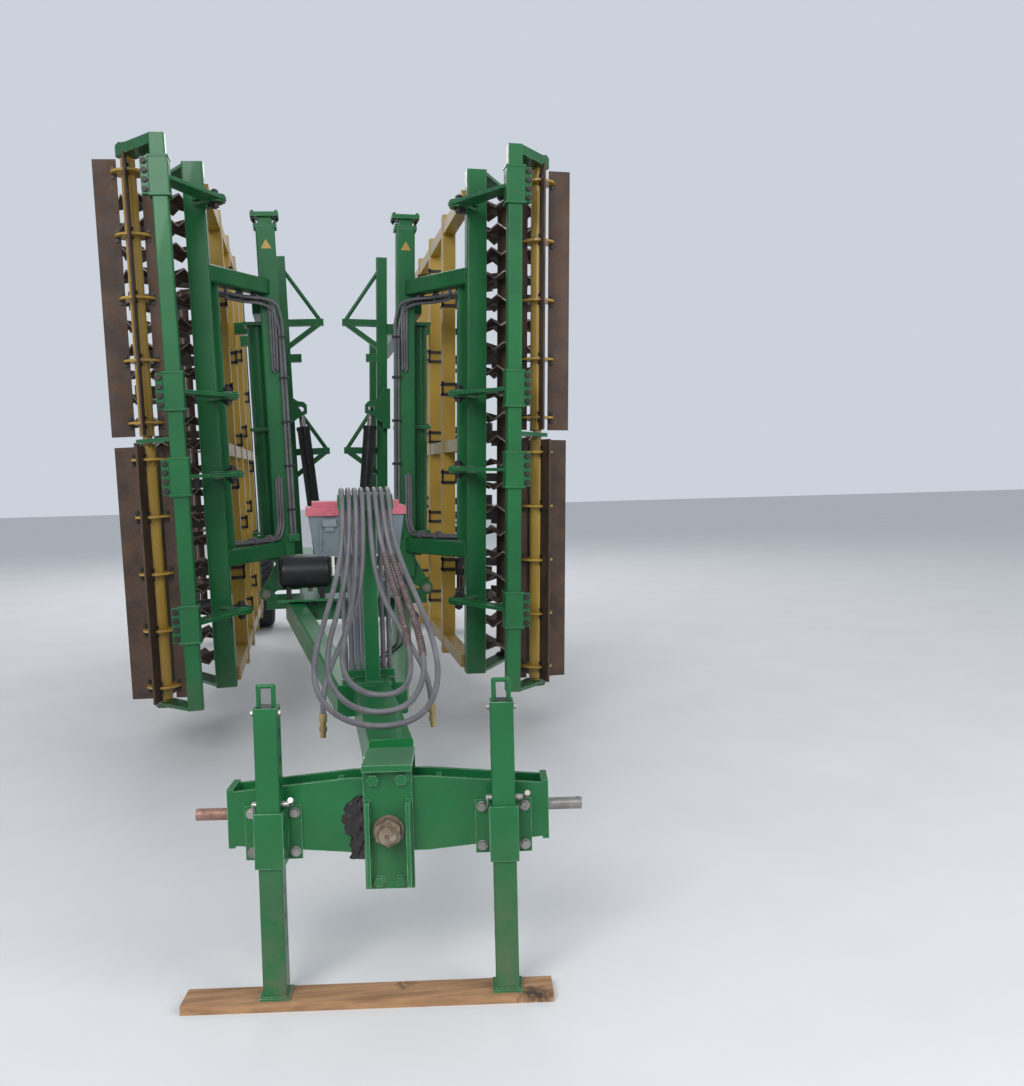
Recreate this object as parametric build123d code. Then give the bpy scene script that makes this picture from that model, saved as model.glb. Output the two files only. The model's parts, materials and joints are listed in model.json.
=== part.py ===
from build123d import *
import math
import os

# Folded field cultivator: a towed tillage machine with two wings that stand upright on a narrow
# chassis, a long drawbar and a linkage headstock parked on two legs.
# Millimetres. +Z up, -Y the towing end, the ground at z = 0.

os.makedirs("parts", exist_ok=True)

# Running clearances
SLIDE_GAP = 0.8          # between a leg and its sleeve, each side
PIN_GAP = 0.5            # between a pin and its bore, on the radius
SIDE_GAP = 6.0           # between a fork's cheek and what turns in it
SEAT = 0.3               # between a piece that turns and what carries it

# Fold hinges: one fore-and-aft line each side
HINGE_X = 520.0
HINGE_Z = 800.0
LEAN = 1.5               # degrees that each parked wing leans outwards

# Headstock, drawn square to the machine and then turned about the king pin as it was parked
HEAD_YAW = -8.6
LINK_Z = 550.0
LINK_SHOULDER = 482.5    # half the distance between the link pins' shoulders
LINK_PIN_R = 18.3
LINK_PIN_LEN = 105.0
HEAD_Y = -4259.0         # middle plane between the two crossbar plates
PLATE_T = 12.0
PLATE_GAP = 88.0         # clear space between the crossbar plates
BAR_H_MID = 226.0
BAR_H_END = 165.0
BAR_FLAT = 120.0         # half the length over which the crossbar keeps its full height
END_T, END_H = 20.0, 180.0
RIB_X, RIB_T, RIB_H = 150.0, 14.0, 190.0
ROLL_Z, ROLL_R = 508.0, 30.0
CENTRE_T, CENTRE_W, CENTRE_Z = 16.0, 148.0, (327.0, 692.0)
CENTRE_RIB_X, CENTRE_RIB_T, CENTRE_RIB_Z = 60.0, 12.0, (345.0, 600.0)
CAP_T, CAP_REACH, LIP_T, LIP_LOW = 20.0, 53.0, 12.0, 610.0
LEG_X, LEG, SLEEVE_WALL, LEG_TOP = 345.0, 70.0, 7.0, 900.0
SLEEVE_Z, SLEEVE_FLANGE = (425.0, 590.0), 84.0
BOARD_T, BOARD_W, BOARD_X = 28.0, 110.0, (-620.0, 480.0)
FOOT_T, FOOT_W = 8.0, 90.0
LOOP_H, LOOP_W, LOOP_R = 60.0, 44.0, 7.0
KING_Y, KING_R, KING_Z = -4060.0, 32.0, 500.0
YOKE_H, FORK_T = 110.0, 25.0
YOKE_PLATE_X, YOKE_PLATE_T, YOKE_PLATE_Z = 80.0, 30.0, (430.0, 575.0)

# Drawbar
TONGUE_W, TONGUE_Z, TONGUE_END = 150.0, (500.0, 690.0), -2300.0
V_W, V_H = 100.0, 140.0
V_FRONT, V_REAR = (100.0, -2900.0, 610.0), (345.0, -540.0, 730.0)
POST_Y, POST_SIDE = -2950.0, 60.0
SADDLE_X, SADDLE_Z, SADDLE_R, SADDLE_T = (-122.0, 102.0), 1394.0, 100.0, 8.0
BULK_Y, BULK_TOP = (-2850.0, -2790.0), 730.0
TOOLBOX_X, TOOLBOX_Y, TOOLBOX_Z = -30.0, (-2560.0, -2290.0), (1205.0, 1385.0)
TOOLBOX_TOP, TOOLBOX_FOOT, BOX_WALL, LID_H = 430.0, 376.0, 5.0, 62.0

# Chassis
RAIL_X, RAIL_W, RAIL_Z, RAIL_Y = 250.0, 120.0, (660.0, 800.0), (-500.0, 3700.0)
CROSS_Y = (1700.0, 2750.0)
HINGE_Y = (-250.0, 2750.0)
FOLD_Y, FOLD_BASE = 900.0, (150.0, 900.0)
BARREL_EYE, ROD_EYE = 70.0, 64.0
FOLD_PIN_R, HINGE_PIN_R = 22.0, 25.0
KNUCKLE_T, LUG_T, LUG_Z = 40.0, 20.0, (700.0, 840.0)
AXLE_Y, TRACK_X, TYRE_R, TYRE_W, RIM_R = 4052.5, 800.0, 435.0, 400.0, 290.0
SPINDLE_R, HUB_R, AXLE_END, SPINDLE_PAST = 40.0, 95.0, 230.0, 110.0
SHELF_X, SHELF_Y, SHELF_T = (-440.0, 330.0), (-800.0, -500.0), 12.0
TANK_X, TANK_Y, TANK_Z, TANK_R = (-430.0, -110.0), -700.0, 975.0, 103.0
VALVE_X, VALVE_Y, VALVE_TOP = (215.0, 325.0), (-760.0, -640.0), 1010.0

# Wing, before it leans. Heights up the wing are shares of the main beam's length, from its lower end.
WING_LOW, WING_HIGH = 327.0, 3380.0


def up(share):
    return WING_LOW + share * (WING_HIGH - WING_LOW)


BEAM_X, BEAM_Y, BEAM_W = 760.0, -852.0, 120.0
TUBE_X, TUBE_Y, TUBE_W = 882.0, -1468.0, 80.0
SWING_AT = (0.152, 0.411, 0.559, 0.924)
SWING_END, SWING_R, SWING_T = (640.0, -985.0), 65.0, 18.0
HOUSING_H, HOUSING_WALL = 205.0, 12.0
KNIFE_X, KNIFE_Y, KNIFE_R = 1067.0, -1230.0, 185.0
KNIFE_AT = ((0.0098, 0.4684), (0.4867, 0.9742))
KNIFE_PAST = ((36.0, 27.0), (27.0, 36.0))       # shaft past each roller's ends
KNIFE_SHAFT_R, KNIFE_TUBE_R, KNIFE_FLANGE_R = 25.0, 40.0, 95.0
KNIFE_INNER, KNIFE_T = 62.0, 10.0                # the blades stand clear of the tube
KNIFE_END, KNIFE_FLANGE_T = 72.0, 12.0           # from a roller's end to its first flange
BEARING_T, BEARING_TOP, BEARING_GAP, MID_GAP = 18.0, 52.0, 14.0, 17.0
KNIFE_BLADES = 4
KNIFE_FLANGES = 5
KNIFE_TURN = (12.0, 0.0)                        # degrees that the blades stand turned, lower and upper
RING_X, RING_Y, RING_R, RING_FLAT_R = 1040.0, -330.0, 230.0, 95.0
RING_T, RING_WAVE = 10.0, 23.0
RING_SHAFT_R, RING_HUB_R, RING_END = 28.0, 55.0, 75.0
RING_COUNT = 20
RING_WAVES = 11
HANGER_T = 18.0
COL_X, COL_W, COL_FOOT, COL_AT = 385.0, 120.0, 880.0, 0.922
NECK_W, HEAD_W, HEAD_T, NECK_H = 90.0, 178.0, 26.0, 60.0
ARMS_AT, ARM_W, ARM_H = (0.249, 0.797), 100.0, 100.0
ARM_POST_X, ARM_POST_Y, ARM_POST_W = 700.0, -700.0, 60.0
ROUND_X, ROUND_Y, ROUND_R, ROUND_AT = 480.0, -80.0, 66.0, (0.271, 0.731)
COLLAR_T, COLLAR_PAST = 20.0, 16.0
INNER_X, INNER_Y, INNER_W, INNER_AT = 320.0, 1050.0, 80.0, (0.204, 0.941)
SPINE_AT, SPINE_X, SPINE_W, SPINE_H = (0.240, 0.764), 455.0, 90.0, 100.0
EAR, EAR_T, EAR_HIGH = (229.0, 2045.0), 14.0, 150.0
APEXES = ((20.0, 2705.0), (30.0, 1730.0))       # inner points of the triangle brackets
STUB_X, STUB_AT, STUB_W = (200.0, 300.0), 0.692, 60.0
POST_X, POST_W, POST_PAST = 722.0, 90.0, (35.0, 44.0)
RAIL_SQ, RAIL_IN, RAIL_MID = 80.0, 95.0, 0.463
# Tine rows, from the front: Y and the share of the wing's length at the lowest tine, then how many tines
# each row has. The tines' pitch is a share too.
TINE_ROWS = ((150.0, 0.1942), (950.0, 0.0934), (1750.0, 0.1238), (2550.0, 0.2309))
TINE_COUNTS = (4, 5, 5, 4)
TINE_PITCH, TINE_T, TINE_W = 0.2, 14.0, 60.0
TINE_BEND, TINE_TURN, TINE_DEPTH, TINE_START = 150.0, 120.0, 480.0, -40.0
SHARE_W = 120.0
CLAMP_T, CLAMP_H, BAND_T, BAND_H = 24.0, 84.0, 7.0, 14.0
SOIL_X = 1300.0          # the line that the shares reach
REAR_TUBE_Y, REAR_TUBE_W = 2940.0, 80.0
REAR_X, REAR_Y, REAR_R = 1110.0, 3200.0, 190.0
REAR_BARS = 8
REAR_DISCS = 5
BARREL_R, BARREL_WALL, ROD_R, GLAND_SHORT = 47.0, 8.0, 22.5, 130.0

# Corner radii of the square tubes and the depth of the mouths at their open ends
CORNER, SMALL_CORNER, MOUTH, MOUTH_WALL = 12.0, 7.0, 60.0, 8.0

# Hoses. Five leave a block on the tongue, rise behind the post and cross its saddle. Three of them hang in
# front in long loops and go back over the saddle to the block, two end in couplers.
HOSE_R = 10.5
COUPLER_R, COUPLER_L = 15.0, 92.0
# Y and Z of the way up behind the post
HOSE_RISE = ((-2824.0, 730.0), (-2824.0, 835.0), (-2820.0, 985.0), (-2818.0, 1145.0), (-2822.0, 1300.0))
HOSE_LOOPS = {
    "outer": ((-106.0, 83.0), (
        (-112, -3085, 1315), (-136, -3150, 1175), (-186, -3300, 1040), (-242, -3500, 910), (-244, -3725, 812),
        (-160, -3912, 752), (-15, -3992, 736), (120, -3935, 760), (192, -3765, 845), (195, -3545, 960),
        (164, -3345, 1075), (122, -3185, 1195), (92, -3092, 1320))),
    "middle": ((-79.0, 56.0), (
        (-84, -3080, 1315), (-102, -3130, 1175), (-140, -3262, 1050), (-192, -3450, 925), (-196, -3660, 836),
        (-132, -3845, 783), (-20, -3915, 768), (84, -3862, 786), (148, -3705, 858), (152, -3500, 960),
        (128, -3314, 1070), (96, -3165, 1190), (66, -3086, 1320))),
    "inner": ((-52.0, 29.0), (
        (-55, -3075, 1315), (-64, -3112, 1175), (-86, -3228, 1060), (-128, -3400, 945), (-144, -3565, 880),
        (-124, -3700, 838), (-66, -3790, 812), (20, -3802, 806), (82, -3730, 826), (108, -3590, 880),
        (106, -3430, 972), (92, -3285, 1070), (66, -3148, 1188), (38, -3080, 1320))),
    "left": ((-25.0,), (
        (-27, -3071, 1315), (-36, -3098, 1175), (-68, -3170, 1050), (-122, -3245, 935), (-180, -3300, 830),
        (-212, -3325, 730), (-214, -3330, 655))),
    "right": ((2.0,), (
        (4, -3071, 1315), (14, -3098, 1175), (48, -3168, 1055), (105, -3240, 945), (165, -3300, 845),
        (200, -3330, 750), (204, -3338, 672))),
}
# Oil lines clipped to each wing's front column and upper arm, before the wing leans
LINE_R = 9.0
LINE_BLOCK = ((290.0, 350.0), (-346.0, -309.0), (1140.0, 1180.0))
WING_LINES = (
    ((312, -326, 1180), (312, -326, 2540), (338, -356, 2652), (426, -406, 2676), (516, -452, 2676),
     (628, -640, 2676), (628, -640, 2710.2)),
    ((336, -326, 1180), (336, -326, 2510), (366, -344, 2620), (450, -388, 2650), (540, -438, 2650),
     (636, -600, 2650), (636, -600, 2710.2)),
)


def block(x, y, z):
    """A box between two limits on each axis."""
    return Pos(sum(x) / 2, sum(y) / 2, sum(z) / 2) * Box(x[1] - x[0], y[1] - y[0], z[1] - z[0])


def around(centre, width):
    return (centre - width / 2, centre + width / 2)


def rod(start, end, radius):
    """A round bar from one point to another."""
    start, end = Vector(*start), Vector(*end)
    span = end - start
    return extrude(Plane(origin=start, z_dir=span.normalized()) * Circle(radius), span.length)


def upright(x, y, z, radius):
    return rod((x, y, z[0]), (x, y, z[1]), radius)


def plate_xz(points, y):
    """A flat plate cut from an outline in X and Z, between two values of Y."""
    face = make_face(Polyline(*[(p[0], 0, p[1]) for p in points], close=True))
    return Pos(0, y[0], 0) * extrude(face, y[1] - y[0], dir=(0, 1, 0))


def plate_xy(points, z):
    """A flat plate cut from an outline in X and Y, between two values of Z."""
    face = make_face(Polyline(*[(p[0], p[1], 0) for p in points], close=True))
    return Pos(0, 0, z[0]) * extrude(face, z[1] - z[0], dir=(0, 0, 1))


def plate_yz(points, x):
    """A flat plate cut from an outline in Y and Z, between two values of X."""
    face = make_face(Polyline(*[(0, p[0], p[1]) for p in points], close=True))
    return Pos(x[0], 0, 0) * extrude(face, x[1] - x[0], dir=(1, 0, 0))


def bar(start, end, width, height):
    """A straight beam of rectangular section; the height stands in the vertical plane of the run."""
    start, end = Vector(*start), Vector(*end)
    run = end - start
    level = Vector(-run.Y, run.X, 0)
    if level.length < 1e-6:
        level = Vector(1, 0, 0)
    section = Plane(origin=start, x_dir=level.normalized(), z_dir=run.normalized())
    return extrude(section * RectangleRounded(width, height, CORNER), run.length)


def tube(x, y, z, width, corner=CORNER, mouth=False):
    """A square tube standing between two heights, with rounded corners and perhaps a shallow open mouth."""
    body = Pos(x, y, z[0]) * extrude(RectangleRounded(width, width, corner), z[1] - z[0])
    if mouth:
        clear = width - 2 * MOUTH_WALL
        body -= Pos(x, y, z[1] - MOUTH) * extrude(RectangleRounded(clear, clear, corner / 2), MOUTH + 1)
    return body


def hose(points, radius):
    """A tube along straight runs joined by arcs, each as large as its two runs allow."""
    points = [Vector(*p) for p in points]
    runs = [b - a for a, b in zip(points, points[1:])]
    radii = []
    for a, b in zip(runs, runs[1:]):
        radii.append(0.45 * min(a.length, b.length) / math.tan(math.radians(a.get_angle(b)) / 2))
    path = FilletPolyline(*points, radius=radii)
    body = sweep(Plane(origin=points[0], z_dir=runs[0].normalized()) * Circle(radius), path=path)
    filled = body.volume / (path.length * math.pi * radius ** 2)
    print("hose length", round(path.length), "smallest bend", round(min(radii)), "volume ratio", round(filled, 4))
    return body


def mirrored(shape):
    return mirror(shape, about=Plane.YZ)


def save(name, *shapes):
    """Writes one node: its solids stay apart unless they were fused before."""
    solids = [s for shape in shapes for s in (shape.solids() if hasattr(shape, "solids") else shape)]
    export_step(Compound(children=solids) if len(solids) > 1 else solids[0], f"parts/{name}.step")


# Headstock, turned about the king pin with all that hangs on it
def head(name, *shapes):
    save(name, *[Pos(0, KING_Y, 0) * Rot(0, 0, HEAD_YAW) * Pos(0, -KING_Y, 0) * shape for shape in shapes])


bar_front = HEAD_Y - PLATE_GAP / 2 - PLATE_T
bar_rear = HEAD_Y + PLATE_GAP / 2 + PLATE_T
bar_end = LINK_SHOULDER - END_T
leg_y = bar_front - 2 * SLEEVE_WALL - LEG / 2 - SLIDE_GAP
sleeve_outer = LEG + 2 * (SLIDE_GAP + SLEEVE_WALL)
sleeve_inner = LEG + 2 * SLIDE_GAP
centre_front = bar_front - CENTRE_T


def crossbar_plate(y):
    """One of the two tapered plates, tallest over its middle."""
    mid, end = BAR_H_MID / 2, BAR_H_END / 2
    upper = [(bar_end, LINK_Z + end), (BAR_FLAT, LINK_Z + mid)]
    upper += [(-x, z) for x, z in reversed(upper)]
    lower = [(x, 2 * LINK_Z - z) for x, z in reversed(upper)]
    return plate_xz(upper + lower, (y, y + PLATE_T))


crossbar = crossbar_plate(bar_front) + crossbar_plate(bar_rear - PLATE_T)
for side in (-1, 1):
    end_x = sorted((side * bar_end, side * LINK_SHOULDER))
    crossbar += block(end_x, (bar_front, bar_rear), around(LINK_Z, END_H))
    rib_y = (bar_front + PLATE_T, bar_rear - PLATE_T)
    crossbar += block(around(side * RIB_X, RIB_T), rib_y, around(LINK_Z, RIB_H))
    tip = side * (LINK_SHOULDER + LINK_PIN_LEN)
    crossbar += rod((side * LINK_SHOULDER, HEAD_Y, LINK_Z), (tip, HEAD_Y, LINK_Z), LINK_PIN_R)
    crossbar -= upright(tip - side * 14, HEAD_Y, (LINK_Z - 30, LINK_Z + 30), 5)
crossbar -= rod((0, bar_front - 1, ROLL_Z), (0, bar_rear + 1, ROLL_Z), ROLL_R + PIN_GAP)
head("crossbar", crossbar)

# Centre plate with two ribs, and a cap plate that runs back over the crossbar to a lip behind it
centre = block(around(0, CENTRE_W), (centre_front, bar_front), CENTRE_Z)
for side in (-1, 1):
    rib_x = around(side * CENTRE_RIB_X, CENTRE_RIB_T)
    centre += block(rib_x, (centre_front - 40, centre_front), CENTRE_RIB_Z)
cap_y = (centre_front - 30, bar_rear + CAP_REACH)
centre += block(around(0, CENTRE_W), cap_y, (CENTRE_Z[1], CENTRE_Z[1] + CAP_T))
centre += block(around(0, CENTRE_W), (cap_y[1] - LIP_T, cap_y[1]), (LIP_LOW, CENTRE_Z[1] + CAP_T))
centre -= rod((0, centre_front - 1, ROLL_Z), (0, bar_front + 1, ROLL_Z), ROLL_R + PIN_GAP)
head("centre_plate", centre)

sleeves = []
for side in (-1, 1):
    x = side * LEG_X
    sleeve = block(around(x, sleeve_outer), around(leg_y, sleeve_outer), SLEEVE_Z)
    sleeve += block(around(x, sleeve_outer + SLEEVE_FLANGE), (bar_front - SLEEVE_WALL, bar_front), SLEEVE_Z)
    bore_z = (SLEEVE_Z[0] - 5, SLEEVE_Z[1] + 5)
    sleeve -= block(around(x, sleeve_inner), around(leg_y, sleeve_inner), bore_z)
    sleeves.append(sleeve)
head("leg_sleeves", *sleeves)

for name, side in (("left", -1), ("right", 1)):
    x = side * LEG_X
    leg = tube(x, leg_y, (BOARD_T + FOOT_T, LEG_TOP), LEG, SMALL_CORNER)
    leg += block(around(x, FOOT_W), around(leg_y, FOOT_W), (BOARD_T, BOARD_T + FOOT_T))
    loop_top = LEG_TOP + LOOP_H
    for dx in (-LOOP_W / 2, LOOP_W / 2):
        leg += upright(x + dx, leg_y, (LEG_TOP, loop_top), LOOP_R)
        leg += Pos(x + dx, leg_y, loop_top) * Sphere(LOOP_R)
    leg += rod((x - LOOP_W / 2, leg_y, loop_top), (x + LOOP_W / 2, leg_y, loop_top), LOOP_R)
    head(f"leg_{name}", leg)

head("board", block(BOARD_X, around(leg_y, BOARD_W), (0, BOARD_T)))

# Yoke: turns on the tongue's king pin and carries the roll pin that the crossbar swings on
yoke_front = bar_rear + SEAT
yoke = block(around(0, 2 * YOKE_PLATE_X), (yoke_front, yoke_front + YOKE_PLATE_T), YOKE_PLATE_Z)
yoke += block(around(0, 2 * YOKE_PLATE_X - 40), (yoke_front + YOKE_PLATE_T, KING_Y), around(KING_Z, YOKE_H))
yoke += upright(0, KING_Y, around(KING_Z, YOKE_H), 2 * KING_R - 4)
yoke -= upright(0, KING_Y, around(KING_Z, YOKE_H + 10), KING_R + PIN_GAP)
nut_y = centre_front - SEAT
yoke += rod((0, yoke_front, ROLL_Z), (0, nut_y - 45, ROLL_Z), ROLL_R)
yoke += rod((0, nut_y, ROLL_Z), (0, nut_y - 8, ROLL_Z), ROLL_R + 16)
yoke += extrude(Plane(origin=(0, nut_y - 8, ROLL_Z), z_dir=(0, -1, 0)) * RegularPolygon(ROLL_R + 12, 6), 32)
head("yoke", yoke)

# Drawbar: fork and king pin, box tongue, two V beams
fork_inner = YOKE_H / 2 + SIDE_GAP
fork_outer = fork_inner + FORK_T
tongue_start = KING_Y + 110
tongue_z = sum(TONGUE_Z) / 2
tongue = bar((0, tongue_start, tongue_z), (0, TONGUE_END, tongue_z), TONGUE_W, TONGUE_Z[1] - TONGUE_Z[0])
for side in (-1, 1):
    cheek = sorted((KING_Z + side * fork_inner, KING_Z + side * fork_outer))
    tongue += block(around(0, TONGUE_W), (KING_Y, tongue_start + 160), cheek)
    tongue += upright(0, KING_Y, cheek, TONGUE_W / 2)
throat = [(tongue_start, KING_Z - fork_outer), (tongue_start, TONGUE_Z[0] + 5),
          (tongue_start + 500, TONGUE_Z[0] + 5), (tongue_start + 500, TONGUE_Z[0])]
tongue += plate_yz(throat, around(0, TONGUE_W))
tongue += upright(0, KING_Y, around(KING_Z, 2 * fork_outer + 40), KING_R)
save("tongue", tongue)

front_y = (RAIL_Y[0] - RAIL_W, RAIL_Y[0])
front_beam = block(around(0, 2 * RAIL_X + RAIL_W), front_y, RAIL_Z)
v_beams = []
for side in (-1, 1):
    beam = bar((side * V_FRONT[0],) + V_FRONT[1:], (side * V_REAR[0],) + V_REAR[1:], V_W, V_H)
    v_beams.append(beam - tongue - front_beam)
save("v_beams", *v_beams)

# Chassis
inner_x = RAIL_X - RAIL_W / 2
front_beam += block(SHELF_X, SHELF_Y, (RAIL_Z[1], RAIL_Z[1] + SHELF_T))
cross = [front_beam, block(around(0, 2 * RAIL_X + RAIL_W), (RAIL_Y[1], RAIL_Y[1] + RAIL_W), RAIL_Z)]
for y in CROSS_Y:
    cross.append(block((-inner_x, inner_x), around(y, RAIL_W), RAIL_Z))
fold_beam = block((-inner_x, inner_x), around(FOLD_Y, 200), RAIL_Z)
base_x, base_z = FOLD_BASE
cheek_y = (FOLD_Y - BARREL_EYE / 2 - SIDE_GAP - 16, FOLD_Y + BARREL_EYE / 2 + SIDE_GAP)
for side in (-1, 1):
    outline = [(base_x - 60, RAIL_Z[1] - 5), (inner_x - 2, RAIL_Z[1] - 5),
               (base_x + 38, base_z + 30), (base_x - 38, base_z + 30)]
    for cheek in cheek_y:
        fold_beam += plate_xz([(side * x, z) for x, z in outline], (cheek, cheek + 16))
    fold_beam += rod((side * base_x, FOLD_Y - 75, base_z), (side * base_x, FOLD_Y + 75, base_z), FOLD_PIN_R)
cross.append(fold_beam)
save("chassis_crossbeams", *cross)

rails = []
for side in (-1, 1):
    x, z = side * RAIL_X, sum(RAIL_Z) / 2
    rail = bar((x, RAIL_Y[0], z), (x, RAIL_Y[1], z), RAIL_W, RAIL_Z[1] - RAIL_Z[0])
    for y in HINGE_Y:
        x = side * HINGE_X
        reach = sorted((side * (RAIL_X + RAIL_W / 2 - 2), x))
        rail += rod((x, y - 70, HINGE_Z), (x, y + 70, HINGE_Z), HINGE_PIN_R)
        for d in (-1, 1):
            near = KNUCKLE_T / 2 + SIDE_GAP
            cheek = sorted((y + d * near, y + d * (near + LUG_T)))
            rail += block(reach, cheek, (LUG_Z[0], HINGE_Z - 12))
            rail += rod((x, cheek[0], HINGE_Z), (x, cheek[1], HINGE_Z), LUG_Z[1] - HINGE_Z)
    rails.append(rail)
save("chassis_rails", *rails)

axle_half = TRACK_X - AXLE_END
axle = block(around(0, 2 * axle_half), around(AXLE_Y, 120), around(TYRE_R, 120))
for side in (-1, 1):
    axle += block(around(side * RAIL_X, 100), (RAIL_Y[1] + RAIL_W, AXLE_Y + 60), (TYRE_R, RAIL_Z[1]))
    tip = side * (TRACK_X + SPINDLE_PAST)
    axle += rod((side * axle_half, AXLE_Y, TYRE_R), (tip, AXLE_Y, TYRE_R), SPINDLE_R)
save("axle_beam", axle)

for name, side in (("left", -1), ("right", 1)):
    hub = (side * TRACK_X, AXLE_Y, TYRE_R)
    half = TYRE_W / 2
    flank = [(half - 40, TYRE_R), (half, TYRE_R - 55), (half, RIM_R + 50), (half - 30, RIM_R)]
    section = flank + [(-x, r) for x, r in reversed(flank)]
    tyre = revolve(make_face(Polyline(*section, close=True)), Axis.X)
    save(f"tyre_{name}", Pos(*hub) * tyre)
    dish = side * 40
    bore = SPINDLE_R + PIN_GAP
    lip = RIM_R - 25
    section = [(-half + 32, lip), (-half + 32, RIM_R), (half - 32, RIM_R), (half - 32, lip)]
    section += [(dish + 10, lip), (dish + 10, HUB_R), (dish + 90, HUB_R), (dish + 90, bore)]
    section += [(dish - 90, bore), (dish - 90, HUB_R), (dish - 10, HUB_R), (dish - 10, lip)]
    rim = revolve(make_face(Polyline(*section, close=True)), Axis.X)
    save(f"rim_{name}", Pos(*hub) * rim)

# Hose post on its foot plate, with an arched saddle and the block that the hoses come out of
post_front = POST_Y - POST_SIDE / 2
post_z = (TONGUE_Z[1], SADDLE_Z + SADDLE_R - SADDLE_T - 1)
post = block(around(0, POST_SIDE), around(POST_Y, POST_SIDE), post_z)
post += block(around(0, TONGUE_W), (post_front - 30, BULK_Y[1]), (TONGUE_Z[1], TONGUE_Z[1] + 12))
post += block(SADDLE_X, BULK_Y, (TONGUE_Z[1] + 6, BULK_TOP))
saddle = rod((SADDLE_X[0], POST_Y, SADDLE_Z), (SADDLE_X[1], POST_Y, SADDLE_Z), SADDLE_R)
saddle -= rod((SADDLE_X[0] - 1, POST_Y, SADDLE_Z), (SADDLE_X[1] + 1, POST_Y, SADDLE_Z), SADDLE_R - SADDLE_T)
saddle -= block((SADDLE_X[0] - 1, SADDLE_X[1] + 1), around(POST_Y, 2 * SADDLE_R + 2),
                (SADDLE_Z - SADDLE_R - 1, SADDLE_Z + 30))
save("hose_post", post + saddle)


def over_saddle(x):
    """Corners about the saddle, from its rear to its front."""
    reach = (SADDLE_R + HOSE_R + 1.5) / math.cos(math.radians(22.5))
    turns = [math.radians(a) for a in (67.5, 22.5, -22.5, -67.5)]
    return [(x, POST_Y + reach * math.sin(a), SADDLE_Z + reach * math.cos(a)) for a in turns]


for name, (crossings, hanging) in HOSE_LOOPS.items():
    route = [(crossings[0], y, z) for y, z in HOSE_RISE] + over_saddle(crossings[0]) + list(hanging)
    if len(crossings) > 1:
        route += ([(crossings[1], y, z) for y, z in HOSE_RISE] + over_saddle(crossings[1]))[::-1]
        save(f"hose_{name}", hose(route, HOSE_R))
        continue
    save(f"hose_{name}", hose(route, HOSE_R))
    tip, way = Vector(*route[-1]), (Vector(*route[-1]) - Vector(*route[-2])).normalized()
    coupler = rod(tip, tip + way * COUPLER_L, COUPLER_R - 4) + rod(tip, tip + way * 34, COUPLER_R)
    coupler += rod(tip + way * 50, tip + way * 68, COUPLER_R)
    save(f"coupler_{name}", coupler)

foot = block(around(TOOLBOX_X, 80), (TOOLBOX_Y[0] + 90, TOOLBOX_Y[0] + 170), (TONGUE_Z[1], TOOLBOX_Z[0]))


def box_outline(inset, low):
    """The toolbox from the front: wider at its top."""
    top, bottom = TOOLBOX_TOP / 2 - inset, TOOLBOX_FOOT / 2 - inset
    high = TOOLBOX_Z[1] + (1 if inset else 0)
    sides = ((-top, high), (top, high), (bottom, low), (-bottom, low))
    return [(TOOLBOX_X + x, z) for x, z in sides]


shell = plate_xz(box_outline(0, TOOLBOX_Z[0]), TOOLBOX_Y)
hollow = box_outline(BOX_WALL, TOOLBOX_Z[0] + BOX_WALL)
shell -= plate_xz(hollow, (TOOLBOX_Y[0] + BOX_WALL, TOOLBOX_Y[1] - BOX_WALL))
save("toolbox", shell + foot)
lid_z = TOOLBOX_Z[1] + SEAT
lid = None
for grow, height in ((10, LID_H * 0.6), (-20, LID_H)):
    layer = block(around(TOOLBOX_X, TOOLBOX_TOP + 2 * grow),
                  (TOOLBOX_Y[0] - grow, TOOLBOX_Y[1] + grow), (lid_z, lid_z + height))
    lid = layer if lid is None else lid + layer
save("toolbox_lid", lid)

# Air tank across the machine on two saddles, and the brake valve, on the front crossbeam's shelf
shelf_top = RAIL_Z[1] + SHELF_T
tank = rod((TANK_X[0], TANK_Y, TANK_Z), (TANK_X[1], TANK_Y, TANK_Z), TANK_R)
tank = fillet(tank.edges().filter_by(GeomType.CIRCLE), 38)
for x in (TANK_X[0] + 60, TANK_X[1] - 60):
    tank += block(around(x, 30), around(TANK_Y, 110), (shelf_top, TANK_Z - 40))
save("air_tank", tank)
valve_x, port_x, port_z = sum(VALVE_X) / 2, VALVE_X[0] + 55, VALVE_TOP - 50
valve = block(VALVE_X, VALVE_Y, (shelf_top + 40, VALVE_TOP))
valve += block(around(valve_x, 60), around(sum(VALVE_Y) / 2, 60), (shelf_top, VALVE_TOP))
valve += rod((port_x, VALVE_Y[0] - 30, port_z), (port_x, VALVE_Y[0], port_z), 26)
save("brake_valve", valve)


# Wings: each is drawn standing straight up on the right, then leans about its hinge line
def placed(shape):
    return Pos(HINGE_X, 0, HINGE_Z) * Rot(0, LEAN, 0) * Pos(-HINGE_X, 0, -HINGE_Z) * shape


def wing(name, *shapes):
    """Writes a wing's piece for both sides."""
    right = [placed(shape) for shape in shapes]
    save(f"{name}_right", *right)
    save(f"{name}_left", *[mirrored(shape) for shape in right])


def arm_plate(start, end, start_r, end_r, z):
    """A flat arm in the XY plane with a rounded far end."""
    start, end = Vector(start[0], start[1], 0), Vector(end[0], end[1], 0)
    run = (end - start).normalized()
    across = Vector(-run.Y, run.X, 0)
    corners = [start + across * start_r, end + across * end_r, end - across * end_r, start - across * start_r]
    plate = plate_xy([(c.X, c.Y) for c in corners], z)
    return plate + upright(end.X, end.Y, z, end_r)


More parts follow.
